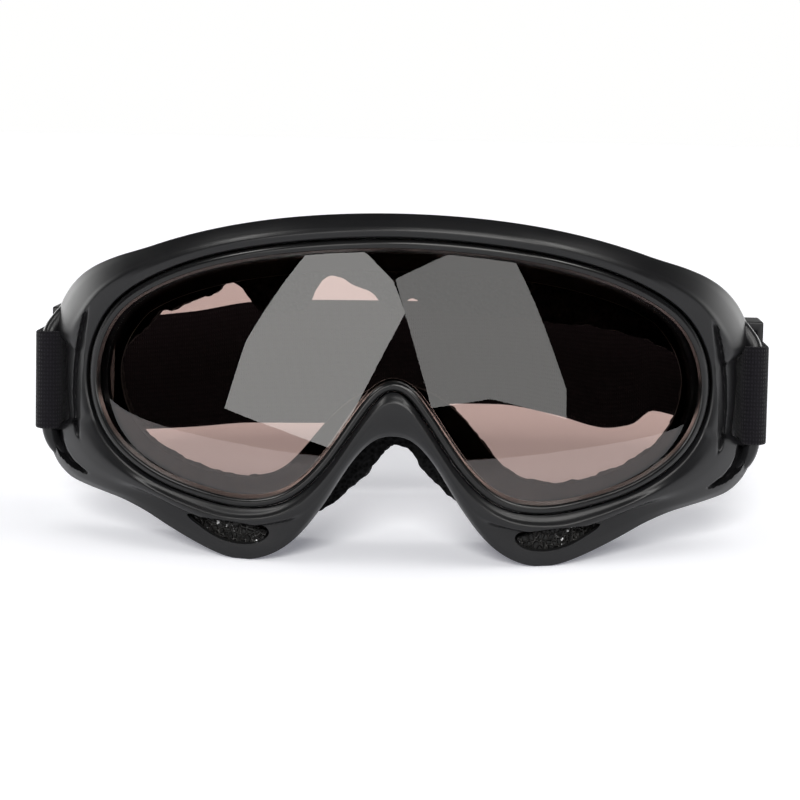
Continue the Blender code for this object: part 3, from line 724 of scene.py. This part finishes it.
# How far the foam's inner edge droops at the top, as (distance from the middle, drop); a
# negative drop leaves a gap above the strap
FOAM_DROOP = [(-75.0, 1.0), (-66.0, 2.0), (-62.4, 1.0), (-61.4, -1.0), (-58.2, 1.0), (-55.5, 0.7),
              (-51.6, 0.2), (-45.8, 0.2), (-44.2, -2.6), (-41.2, -1.6), (-38.0, 1.0),
              (-36.6, 6.5), (-30.0, 7.5), (-22.6, 7.5), (-21.4, 0.5), (-19.4, -1.6),
              (-16.3, -1.2), (-13.5, 0.5), (-10.9, 2.3), (-5.9, 2.5), (-4.9, 8.0),
              (0.9, 8.0), (1.9, 2.0), (3.7, 1.5), (4.8, 8.0), (20.0, 8.0), (40.0, 7.0),
              (60.0, 4.0), (75.0, 1.0)]


def drooping(loop):
    """The face hole with its upper edge hanging unevenly, as torn foam does."""
    places, drops = np.array(FOAM_DROOP).T
    hanging = loop.copy()
    hanging[:, 1] -= top_share(loop) * np.interp(loop[:, 0], places, drops)
    return soften(hanging, 1.5)


FOAM_EDGE_DROP = 0.8
FOAM_CORNER = 3.0               # the radius of the foam's rounded rear edges


def make_face_foam():
    """The foam ring on the flange, with rounded rear edges and a torn surface."""
    edge = closed_outline(FOAM_EDGE)
    hole = closed_outline(FACE_HOLE)
    edge[:, 1] -= np.where(edge[:, 1] > STRAP_Z, FOAM_EDGE_DROP, 0.0)
    inner = drooping(offset(hole, 0.5))
    back = GAP + FOAM_THICKNESS
    corner = back - FOAM_CORNER
    rows = []
    for share in np.linspace(0, 1, 12):
        rows.append(ring(between(inner, edge, share), face_y, GAP))
    for depth in np.linspace(GAP + 1.0, corner, 8):
        rows.append(ring(edge, face_y, depth))
    for a in np.linspace(0.2, 1.0, 5) * math.pi / 2:
        rows.append(ring(between(edge, inner, 0.22 * (1 - math.cos(a))), face_y,
                         corner + FOAM_CORNER * math.sin(a)))
    for share in np.linspace(0.28, 0.72, 8):
        rows.append(ring(between(edge, inner, share), face_y, back))
    for a in np.linspace(0.0, 0.8, 5) * math.pi / 2:
        rows.append(ring(between(inner, edge, 0.25 * (1 - math.sin(a))), face_y,
                         corner + FOAM_CORNER * math.cos(a)))
    for depth in np.linspace(corner, GAP + 1.0, 8):
        rows.append(ring(inner, face_y, depth))
    points = np.concatenate(rows)
    rough = rough_foam(points, 1.6, 0.45, 1)
    rough = rough_foam(rough, 5.0, 0.6, 2)
    # The front face stays flat, where it is glued to the flange
    glued = np.array([p[1] - face_y(p[0]) < GAP + 0.01 for p in points])
    rough[glued, 1] = points[glued, 1]
    rough[:, 2] = np.maximum(rough[:, 2], 0.05)
    faces = grid_faces(len(rows), LOOP, wrap_rows=True)
    return new_piece("face_foam_pad", rough, faces, 80.0)


def mesh_from_node(name, node):
    """A copy of a CAD node's mesh as a new piece, its flat faces joined up again."""
    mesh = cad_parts[node].data.copy()
    mesh.name = name
    work = bmesh.new()
    work.from_mesh(mesh)
    bmesh.ops.remove_doubles(work, verts=work.verts, dist=0.00001)
    bmesh.ops.dissolve_limit(work, angle_limit=math.radians(1.0), verts=work.verts,
                             edges=work.edges)
    work.to_mesh(mesh)
    work.free()
    return link_mesh(name, mesh)


TEAR_SIZES = (1.3, 0.7)


def torn_foam(name, node, cell, roughness, seed):
    """A CAD foam solid remeshed finely, with a torn open-cell surface."""
    piece = mesh_from_node(name, node)
    remesh = piece.modifiers.new("remesh", 'REMESH')
    remesh.mode = 'VOXEL'
    remesh.voxel_size = cell * MM
    apply_modifiers(piece)
    points = np.array([v.co for v in piece.data.vertices]) / MM
    moved = rough_foam(points, TEAR_SIZES[0], roughness, seed)
    moved = rough_foam(moved, TEAR_SIZES[1], roughness * 0.5, seed + 1)
    for vertex, p in zip(piece.data.vertices, moved * MM):
        vertex.co = p
    piece.data.shade_smooth()
    return piece


# Strap

WEBBING_EDGE = 0.5              # how far in the webbing's edges start to round
WEBBING_STEPS = 16


def webbing_section():
    """Points round the webbing's cross section, as (height, distance out from the path)."""
    low = STRAP_Z - STRAP_WIDTH / 2 + WEBBING_EDGE
    high = STRAP_Z + STRAP_WIDTH / 2 - WEBBING_EDGE
    half = WEBBING / 2
    flat = [low + (high - low) * k / WEBBING_STEPS for k in range(WEBBING_STEPS + 1)]
    turns = [math.pi * share for share in (0.25, 0.5, 0.75)]
    section = [(z, half) for z in flat]
    section += [(high + WEBBING_EDGE * math.sin(a), half * math.cos(a)) for a in turns]
    section += [(z, -half) for z in reversed(flat)]
    section += [(low - WEBBING_EDGE * math.sin(a), -half * math.cos(a)) for a in turns]
    return section


def webbing_path(name, path):
    """Webbing along a plan path of centre points, with rounded edges and a UV in millimetres."""
    path = np.array(path, float)
    step = unit(np.gradient(path, axis=0))
    side = np.stack([step[:, 1], -step[:, 0]], axis=1)
    length = np.concatenate([[0], np.cumsum(np.linalg.norm(np.diff(path, axis=0), axis=1))])
    around = webbing_section()
    points = []
    for p, s in zip(path, side):
        for z, out in around:
            points.append((p[0] + s[0] * out, p[1] + s[1] * out, z))
    piece = new_piece(name, points, tube_faces(len(path), len(around)), 60.0)
    layer = piece.data.uv_layers.new(name="webbing")
    for loop in piece.data.loops:
        row, column = divmod(loop.vertex_index, len(around))
        layer.data[loop.index].uv = (length[row], around[column][0] - STRAP_Z + STRAP_WIDTH / 2)
    return piece


def arc(centre_x, centre_y, half_x, half_y, first, last, steps):
    """Points on part of an ellipse, from the first angle to the last, in degrees."""
    turn = np.radians(np.linspace(first, last, steps + 1))
    return [(centre_x + half_x * math.cos(a), centre_y + half_y * math.sin(a)) for a in turn]


def mirrored(path, side):
    return [(side * x, y) for x, y in path]


def line(start, stop, steps):
    """Evenly spaced points on a straight line, both ends included."""
    return [tuple(np.array(start) + (np.array(stop) - np.array(start)) * i / steps)
            for i in range(steps + 1)]


# Where the visual pieces of webbing meet: just before the tilt line, under the adjuster, and
# where the rear curve begins
TAIL_START_Y = 66.0
SIDE_START_Y = 92.0
STRETCH_START_Y = 94.0
TILT_REACH = 7.5
FLAP_GAP = 0.12
FLAP_REACH = 0.55               # the share of the flap that it takes to lie down on the tail
FLAP_STEPS = 20
LEG_X = BAR_X - BAR_HALF[0] - GAP - WEBBING / 2
RUN_X = OUTER_FACE - WEBBING / 2


def make_front_band(side, name):
    """Webbing from the inner leg, round the outrigger's bar, to under the adjuster."""
    half = WEBBING / 2
    fold = arc(BAR_X, BAR_Y, BAR_HALF[0] + GAP + half, BAR_HALF[1] + GAP + half, 180, 360, 24)
    path = line((LEG_X, TAIL_START_Y), (LEG_X, BAR_Y), 28)[:-1] + fold
    path += line((RUN_X, BAR_Y), (RUN_X, SIDE_START_Y), 50)[1:]
    return webbing_path(name, mirrored(path, side))


def make_side_band(side, name):
    """Webbing from under the adjuster to the rear curve."""
    path = line((RUN_X, SIDE_START_Y), (RUN_X, STRAIGHT_END_Y), 30)
    return webbing_path(name, mirrored(path, side))


def make_tail(side, name):
    """The end of the webbing, folded round the middle bar and sewn down on itself."""
    half_bar = SLIDER_THICKNESS / 2 + GAP
    fold_x = BAR_X - BAR_HALF[0] - GAP + half_bar
    middle = half_bar + WEBBING / 2
    path = line((LEG_X, TAIL_START_Y), (LEG_X, SLIDER_Y), 26)[:-1]
    path += arc(fold_x, SLIDER_Y, middle, SLIDER_BAR / 2 + FOLD_EASE + WEBBING / 2, 180, 0, 24)
    flap_x = LEG_X + WEBBING + FLAP_GAP
    start_x = fold_x + middle
    for i in range(1, FLAP_STEPS + 1):
        share = i / FLAP_STEPS
        ease = smooth_step(min(1.0, share / FLAP_REACH))
        path.append((start_x + (flap_x - start_x) * ease,
                     SLIDER_Y + (TAIL_END_Y - SLIDER_Y) * share))
    return webbing_path(name, mirrored(path, side))


STITCH_ROWS = (TAIL_END_Y + 1.0, TAIL_END_Y + 2.6, TAIL_END_Y + 4.2)
STITCH_LENGTH = 2.2
STITCH_PITCH = 2.9
STITCH_MARGIN = 1.5
STITCH_RINGS = 7
STITCH_SIDES = 8
THREAD = 0.28


def make_stitches(side, name):
    """Three rows of thread across the tail's end, each stitch a small half-sunk dash."""
    points = []
    faces = []
    surface = LEG_X + 1.5 * WEBBING + THREAD / 2
    count = int((STRAP_WIDTH - 2 * STITCH_MARGIN) / STITCH_PITCH)
    for row in STITCH_ROWS:
        for k in range(count):
            middle = STRAP_Z + (k - (count - 1) / 2) * STITCH_PITCH
            first = len(points)
            for i in range(STITCH_RINGS):
                share = i / (STITCH_RINGS - 1)
                z = middle + (share - 0.5) * STITCH_LENGTH
                radius = THREAD * math.sqrt(max(0.05, 1 - (2 * share - 1) ** 4))
                for turn in range(STITCH_SIDES):
                    a = 2 * math.pi * turn / STITCH_SIDES
                    points.append((side * (surface + radius * math.cos(a)),
                                   row + radius * math.sin(a), z))
            faces += tube_faces(STITCH_RINGS, STITCH_SIDES, first)
    return new_piece(name, points, faces)


REAR_STEPS = 160

# How the webbing behind the head hangs, as (place across, rise of its upper edge, rise of its
# lower edge): the photo shows its lower edge sagging most at both sides
REAR_HANG = [(-94.2, 0.0, 0.0), (-86.0, -1.6, -5.5), (-78.0, -2.6, -9.6), (-62.0, -1.3, -9.0),
             (-45.0, 1.6, -7.6), (-26.0, 2.4, -7.4), (0.0, 2.6, -4.6), (12.0, 2.5, -1.4),
             (25.0, 2.4, -1.2), (41.0, 2.0, -3.6), (55.0, 1.6, -6.6), (62.0, 1.4, -5.4),
             (68.0, 1.1, -1.4), (76.0, 0.7, -2.6), (86.0, 0.3, -2.6), (94.2, 0.0, 0.0)]
REAR_LEAN = 0.45


def make_rear_band(name):
    """The webbing behind the head, riding up in the middle and not quite flat."""
    path = []
    for i in range(REAR_STEPS + 1):
        angle = math.pi * i / REAR_STEPS
        path.append((RUN_X * math.cos(angle),
                     STRAIGHT_END_Y + (REAR_DEPTH - WEBBING / 2) * math.sin(angle)))
    piece = webbing_path(name, path)
    across, upper_rise, lower_rise = np.array(REAR_HANG).T
    for vertex in piece.data.vertices:
        x = vertex.co.x / MM
        lower = 1.0 - (vertex.co.z / MM - STRAP_Z + STRAP_WIDTH / 2) / STRAP_WIDTH
        top = float(smooth_line(across, upper_rise, x))
        bottom = float(smooth_line(across, lower_rise, x))
        vertex.co.z += (top + (bottom - top) * lower) * MM
        vertex.co.y += REAR_LEAN * (bottom - top) * lower * MM
    return piece


SLIDER_ROUNDING = 0.45


def bevelled_slider(name, node):
    """The adjuster with its edges rounded, as it comes out of the mould."""
    piece = mesh_from_node(name, node)
    bevel = piece.modifiers.new("bevel", 'BEVEL')
    bevel.width = SLIDER_ROUNDING * MM
    bevel.segments = 4
    bevel.limit_method = 'ANGLE'
    bevel.angle_limit = math.radians(40)
    apply_modifiers(piece)
    piece.data.shade_smooth()
    piece.data.set_sharp_from_angle(angle=math.radians(35))
    return piece


# Materials

def shader_nodes(name):
    """A new material, with its node tree and its main shader."""
    material = bpy.data.materials.new(name)
    material.use_nodes = True
    tree = material.node_tree
    return material, tree, tree.nodes["Principled BSDF"]


def feed(tree, node, inputs):
    """Give a node its inputs, each a value or another node's socket."""
    for key, value in inputs.items():
        if isinstance(value, bpy.types.NodeSocket):
            tree.links.new(value, node.inputs[key])
        else:
            node.inputs[key].default_value = value


def add_node(tree, kind, inputs, **settings):
    """A new node with its settings and inputs."""
    node = tree.nodes.new(kind)
    for key, value in settings.items():
        setattr(node, key, value)
    feed(tree, node, inputs)
    return node


def noise_value(tree, vector, scale, detail=2.0):
    node = add_node(tree, "ShaderNodeTexNoise",
                    {"Vector": vector, "Scale": scale, "Detail": detail, "Roughness": 0.5})
    return node.outputs["Fac"]


def remap(tree, value, low, high, to_low, to_high, kind='LINEAR'):
    """A value taken from one range to another, and held at both ends."""
    node = add_node(tree, "ShaderNodeMapRange",
                    {"Value": value, "From Min": low, "From Max": high, "To Min": to_low,
                     "To Max": to_high}, interpolation_type=kind)
    return node.outputs["Result"]


def calculate(tree, operation, *values):
    """The result of a math node, whose inputs are numbers or sockets."""
    inputs = dict(enumerate(values))
    return add_node(tree, "ShaderNodeMath", inputs, operation=operation).outputs[0]


def split(tree, vector):
    """The X, Y and Z of a vector."""
    return tuple(add_node(tree, "ShaderNodeSeparateXYZ", {0: vector}).outputs)


def mix_colours(tree, factor, first, second):
    """Mix two colours, each given as a triple or as a socket."""
    first, second = ((*c, 1.0) if isinstance(c, tuple) else c for c in (first, second))
    node = add_node(tree, "ShaderNodeMix", {"Factor": factor, "A": first, "B": second},
                    data_type='RGBA')
    return node.outputs["Result"]


def bump(tree, height, strength, distance):
    """A surface normal roughened by a height."""
    node = add_node(tree, "ShaderNodeBump",
                    {"Height": height, "Strength": strength, "Distance": distance})
    return node.outputs["Normal"]


def object_coordinates(tree):
    return add_node(tree, "ShaderNodeTexCoord", {}).outputs["Object"]


def moulded_plastic(name, dark, light, roughness, grain, specular):
    """Black moulded plastic or rubber, uneven in tone and gloss, with a fine grain."""
    material, tree, shader = shader_nodes(name)
    where = object_coordinates(tree)
    patches = noise_value(tree, where, 60.0, 3.0)
    gloss = remap(tree, patches, 0.3, 0.7, roughness - 0.04, roughness + 0.05)
    feed(tree, shader, {
        "Base Color": mix_colours(tree, patches, dark, light),
        "Roughness": gloss,
        "Specular IOR Level": specular,
        "Normal": bump(tree, noise_value(tree, where, 2600.0), grain, 0.00003)})
    return material


# The lens's surface normals are tilted up in its shader, as if the sheet leaned back a little in
# its seat
LENS_LEAN = math.tan(math.radians(7.0))


def leaning_normal(tree):
    """The surface normal tilted upwards, for a sheet that leans back as a whole."""
    x, y, z = split(tree, add_node(tree, "ShaderNodeNewGeometry", {}).outputs["Normal"])
    lifted = calculate(tree, 'MULTIPLY_ADD', y, -LENS_LEAN, z)
    joined = add_node(tree, "ShaderNodeCombineXYZ", {"X": x, "Y": y, "Z": lifted})
    level = add_node(tree, "ShaderNodeVectorMath", {0: joined.outputs[0]}, operation='NORMALIZE')
    return level.outputs[0]


def tinted_lens():
    """Clear plastic tinted pinkish brown, a little unevenly."""
    material, tree, shader = shader_nodes("tinted_lens")
    haze = noise_value(tree, object_coordinates(tree), 25.0)
    feed(tree, shader, {
        "Base Color": mix_colours(tree, haze, (0.50, 0.355, 0.315), (0.485, 0.345, 0.302)),
        "Roughness": 0.0,
        "Normal": leaning_normal(tree),
        "Transmission Weight": 1.0,
        "IOR": 1.58})
    return material


def open_foam():
    """The matt face foam, with small open cells."""
    material, tree, shader = shader_nodes("open_cell_foam")
    cells = add_node(tree, "ShaderNodeTexVoronoi",
                     {"Vector": object_coordinates(tree), "Scale": 900.0}).outputs["Distance"]
    feed(tree, shader, {
        "Base Color": mix_colours(tree, remap(tree, cells, 0.1, 0.7, 0.0, 1.0),
                                  (0.0012, 0.0012, 0.0012), (0.010, 0.010, 0.0105)),
        "Roughness": 0.75,
        "Specular IOR Level": 0.10,
        "Normal": bump(tree, cells, 0.9, 0.0006)})
    return material


def glossy_foam():
    """The vents' coarse filter foam, whose cell walls glint, with painted glints: sparse white
    specks in its colour.
    """
    material, tree, shader = shader_nodes("vent_filter_foam")
    where = object_coordinates(tree)
    cells = add_node(tree, "ShaderNodeTexVoronoi", {"Vector": where, "Scale": 700.0},
                     feature='DISTANCE_TO_EDGE')
    walls = remap(tree, cells.outputs["Distance"], 0.02, 0.2, 1.0, 0.0)
    cell_colour = mix_colours(tree, walls, (0.002, 0.002, 0.002), (0.022, 0.021, 0.020))
    # Painted glints: sparse near-white specks in the base colour stand in for the foam's sparkle of
    # highlights
    painted_glints = remap(tree, noise_value(tree, where, 620.0), 0.66, 0.72, 0.0, 1.0)
    feed(tree, shader, {
        "Base Color": mix_colours(tree, painted_glints, cell_colour, (0.80, 0.80, 0.80)),
        "Roughness": remap(tree, walls, 0.0, 1.0, 0.6, 0.18),
        "Normal": bump(tree, walls, 1.0, 0.0008)})
    return material


def woven_webbing():
    """Black elastic webbing, with ribs along it, picks across it and loose fibres."""
    material, tree, shader = shader_nodes("elastic_webbing")
    uv = add_node(tree, "ShaderNodeUVMap", {}, uv_map="webbing").outputs["UV"]
    ribs = add_node(tree, "ShaderNodeTexWave",
                    {"Vector": uv, "Scale": 0.32, "Distortion": 0.4, "Detail": 2.0},
                    bands_direction='Y')
    picks = add_node(tree, "ShaderNodeTexWave", {"Vector": uv, "Scale": 0.5},
                     bands_direction='X')
    weave = calculate(tree, 'MULTIPLY', ribs.outputs["Fac"], picks.outputs["Fac"])
    fibres = noise_value(tree, object_coordinates(tree), 3000.0, 3.0)
    relief = calculate(tree, 'ADD', weave, fibres)
    feed(tree, shader, {
        "Base Color": mix_colours(tree, remap(tree, relief, 0.2, 1.4, 0.0, 1.0),
                                  (0.0016, 0.0014, 0.0020), (0.0070, 0.0062, 0.0084)),
        "Roughness": 0.85,
        "Specular IOR Level": 0.10,
        "Sheen Weight": 0.04,
        "Sheen Roughness": 0.5,
        "Normal": bump(tree, relief, 0.7, 0.0003)})
    return material


# Stage, lights and camera

SOFTBOX_DISTANCE = 1.3
# Corners of the glowing panels as (azimuth, elevation) in degrees from the goggles: the two
# softboxes that the lens reflects
SOFTBOX_LEFT = [(-49.0, 4.2), (-43.2, 11.2), (-32.7, 18.4), (-22.0, 24.5), (-10.0, 23.0),
                (-2.7, 20.4), (0.7, 17.1), (-17.5, 1.8), (-32.0, 3.2)]
SOFTBOX_RIGHT = [(-2.2, 20.6), (15.8, 23.5), (27.0, 24.0), (36.1, 16.5), (41.7, 10.9),
                 (45.5, 7.0), (45.6, 4.1), (24.0, 7.4), (8.2, 6.8)]

# A higher panel, which the top of the bezel reflects
SOFTBOX_HIGH = [(-6.0, 26.0), (0.0, 44.0), (24.0, 48.0), (46.0, 42.0), (47.0, 30.0), (26.0, 26.0)]
# Two small panels high at the sides, which the bead's lower corners glint with
GLINT_LEFT = [(-72.0, 34.0), (-70.0, 50.0), (-56.0, 50.0), (-56.0, 36.0)]
GLINT_RIGHT = [(56.0, 36.0), (56.0, 50.0), (70.0, 50.0), (72.0, 34.0)]
PANELS = [("softbox_left", SOFTBOX_LEFT, 4.3), ("softbox_right", SOFTBOX_RIGHT, 2.7),
          ("softbox_high", SOFTBOX_HIGH, 9.0), ("glint_left", GLINT_LEFT, 14.0),
          ("glint_right", GLINT_RIGHT, 14.0)]


FLOOR_SIZE = 12.0
FLOOR_DROP = 0.0002


def make_floor():
    """A pale table that glows a little, so that it ends up nearly white."""
    bpy.ops.mesh.primitive_plane_add(size=FLOOR_SIZE, location=(0, 0, -FLOOR_DROP))
    floor = bpy.context.object
    floor.name = "studio_floor"
    material, tree, shader = shader_nodes("studio_floor")
    feed(tree, shader, {"Base Color": (0.93, 0.93, 0.935, 1.0), "Roughness": 0.85,
                        "Emission Color": (0.88, 0.89, 1.0, 1.0), "Emission Strength": 0.22})
    floor.data.materials.append(material)


def make_softbox(name, corners, radiance):
    """A glowing panel through corners given as directions, which only reflections show."""
    points = []
    for azimuth, elevation in corners:
        a = math.radians(azimuth)
        e = math.radians(elevation)
        points.append((SOFTBOX_DISTANCE * math.sin(a) * math.cos(e),
                       -SOFTBOX_DISTANCE * math.cos(a) * math.cos(e),
                       SOFTBOX_DISTANCE * math.sin(e)))
    middle = tuple(sum(p[i] for p in points) / len(points) for i in range(3))
    count = len(points)
    faces = [(i, (i + 1) % count, count) for i in range(count)]
    mesh = bpy.data.meshes.new(name)
    mesh.from_pydata(points + [middle], [], faces)
    panel = link_mesh(name, mesh)
    material = bpy.data.materials.new(name)
    material.use_nodes = True
    tree = material.node_tree
    tree.nodes.clear()
    glow = add_node(tree, "ShaderNodeEmission",
                    {"Color": (1.0, 0.99, 0.97, 1.0), "Strength": radiance})
    add_node(tree, "ShaderNodeOutputMaterial", {"Surface": glow.outputs[0]})
    mesh.materials.append(material)
    panel.visible_camera = False
    panel.visible_transmission = False
    panel.visible_diffuse = False
    panel.visible_shadow = False


# Suns as (name, strength, width, tilt towards the camera's side, turn), angles in degrees
SUNS = [("overhead", 0.9, 70.0, 10.0, 16.0), ("front_key", 4.5, 14.0, 72.0, -4.0)]
SKY_FILL = 0.3
# The backdrop that reflections show, as ranges of a direction's Y or Z and the glow at their
# ends: it brightens towards the back, stops straight behind, where the goggles' own inside is
# dark, and fades out upwards
BACKDROP_BACK = (0.30, 0.9, 0.0, 5.0)
BACKDROP_STRAIGHT = (0.90, 0.97, 1.0, 0.05)
BACKDROP_HEIGHT = (0.10, 0.42, 1.0, 0.03)


def make_sun(name, strength, size, tilt, turn):
    """A soft distant light that no reflection shows, tilted towards the camera's side."""
    data = bpy.data.lights.new(name, 'SUN')
    data.energy = strength
    data.angle = math.radians(size)
    light = bpy.data.objects.new(name, data)
    light.rotation_euler = (math.radians(tilt), math.radians(turn), 0.0)
    light.visible_glossy = False
    light.visible_transmission = False
    bpy.context.collection.objects.link(light)


def make_world():
    """The white surroundings, which each kind of ray sees in its own way."""
    world = bpy.data.worlds.new("studio")
    world.use_nodes = True
    tree = world.node_tree
    sky = tree.nodes["Background"]
    sky.inputs["Color"].default_value = (1.0, 1.0, 0.995, 1.0)
    rays = add_node(tree, "ShaderNodeLightPath", {}).outputs
    _, back, up = split(tree, add_node(tree, "ShaderNodeTexCoord", {}).outputs["Generated"])
    # Through the lens, only the side behind the goggles is white
    behind = calculate(tree, 'GREATER_THAN', back, 0.0)
    through = calculate(tree, 'MULTIPLY', rays["Is Transmission Ray"], behind)
    seen = calculate(tree, 'MAXIMUM', rays["Is Camera Ray"], through)
    fill = calculate(tree, 'MULTIPLY_ADD', rays["Is Diffuse Ray"], SKY_FILL, seen)
    glow = remap(tree, back, *BACKDROP_BACK, kind='SMOOTHSTEP')
    beside = remap(tree, back, *BACKDROP_STRAIGHT, kind='SMOOTHSTEP')
    low = remap(tree, up, *BACKDROP_HEIGHT, kind='SMOOTHSTEP')
    backdrop = calculate(tree, 'MULTIPLY', glow, calculate(tree, 'MULTIPLY', beside, low))
    strength = calculate(tree, 'MULTIPLY_ADD', rays["Is Glossy Ray"], backdrop, fill)
    tree.links.new(strength, sky.inputs["Strength"])
    bpy.context.scene.world = world


def make_lights():
    for panel in PANELS:
        make_softbox(*panel)
    for sun in SUNS:
        make_sun(*sun)
    make_world()


CAMERA_DISTANCE = 0.700
CAMERA_ELEVATION = 6.0
CAMERA_AZIMUTH = 2.0
CAMERA_ROLL = 1.1
CAMERA_LENS = 128.6
CAMERA_TARGET = (0.0, 20.0, 40.5)
CAMERA_SHIFT = (0.0047, -0.0100)


def make_camera():
    data = bpy.data.cameras.new("camera")
    data.lens = CAMERA_LENS
    data.sensor_width = 36.0
    data.shift_x, data.shift_y = CAMERA_SHIFT
    data.clip_start = 0.01
    camera = bpy.data.objects.new("camera", data)
    bpy.context.collection.objects.link(camera)
    a = math.radians(CAMERA_AZIMUTH)
    e = math.radians(CAMERA_ELEVATION)
    back = Vector((math.sin(a) * math.cos(e), -math.cos(a) * math.cos(e), math.sin(e)))
    target = Vector(place([CAMERA_TARGET])[0])
    turn = (-back).to_track_quat('-Z', 'Y').to_matrix().to_4x4()
    roll = Matrix.Rotation(math.radians(CAMERA_ROLL), 4, 'Z')
    camera.matrix_world = Matrix.Translation(target + back * CAMERA_DISTANCE) @ turn @ roll
    bpy.context.scene.camera = camera


def main():
    """Set the stage, then make every piece and give it its material, and a body to all but the
    strap's front, side and tail webbing and the stitches.
    """
    make_camera()
    make_floor()
    make_lights()
    bpy.context.scene.view_settings.view_transform = 'Standard'

    satin = moulded_plastic("satin_black_plastic", (0.0040, 0.0040, 0.0044),
                            (0.0065, 0.0065, 0.0070), 0.32, 0.10, 0.30)
    gloss = moulded_plastic("gloss_black_plastic", (0.0035, 0.0035, 0.0035),
                            (0.0055, 0.0055, 0.0058), 0.22, 0.05, 0.32)
    rubber = moulded_plastic("soft_black_rubber", (0.004, 0.004, 0.0042), (0.007, 0.007, 0.007),
                             0.50, 0.25, 0.08)
    foam = open_foam()
    filter_foam = glossy_foam()
    webbing = woven_webbing()

    finish_piece(make_front_frame(), satin, "frame", "frame_plastic", "front_frame")
    finish_piece(make_rim(), gloss, "frame", "rim_plastic", "lens_rim")
    finish_piece(make_lens(), tinted_lens(), "frame", "lens_tint", "lens")
    finish_piece(make_skirt(), rubber, "frame", "skirt_rubber", "lens_seat", "face_skirt",
                 "face_flange")
    face_foam = make_face_foam()
    finish_piece(face_foam, foam, "frame", "foam", "face_foam")
    filters = [("top_filter", "top_vent_foam", 0.5, 1), ("left_filter", "left_vent_foam", 0.35, 3),
               ("right_filter", "right_vent_foam", 0.35, 5)]
    for name, node, cell, seed in filters:
        piece = torn_foam(name, node, cell, 0.3, seed)
        finish_piece(piece, filter_foam, "frame", "foam", node)

    tilt = place([(0, TILT_Y - TILT_REACH, STRAP_Z), (0, TILT_Y + TILT_REACH * 0.2, STRAP_Z)])
    stretch = place([(0, STRETCH_START_Y, STRAP_Z), (0, STRAIGHT_END_Y - 0.5, STRAP_Z)])
    slide = place([(0, TAIL_START_Y, STRAP_Z), (0, SLIDER_Y - 1.5, STRAP_Z)])
    for side, word in ((-1, "left"), (1, "right")):
        front = make_front_band(side, f"{word}_front_band")
        bending_piece(front, webbing, "webbing", f"{word}_strap_loop")
        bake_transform(front)
        band = make_side_band(side, f"{word}_side_band")
        bending_piece(band, webbing, "webbing", f"{word}_strap_side")
        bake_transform(band)
        tail = make_tail(side, f"{word}_sewn_tail")
        bending_piece(tail, webbing, "webbing", f"{word}_strap_tail")
        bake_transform(tail)
        stitches = make_stitches(side, f"{word}_stitches")
        bending_piece(stitches, webbing, "webbing")
        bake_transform(stitches)
        finish_piece(bevelled_slider(f"{word}_adjuster", f"{word}_slider"), satin,
                     f"{word}_slider", "slider_plastic", f"{word}_slider")
    finish_piece(make_rear_band("rear_band"), webbing, "strap_rear", "webbing", "strap_rear")


main()
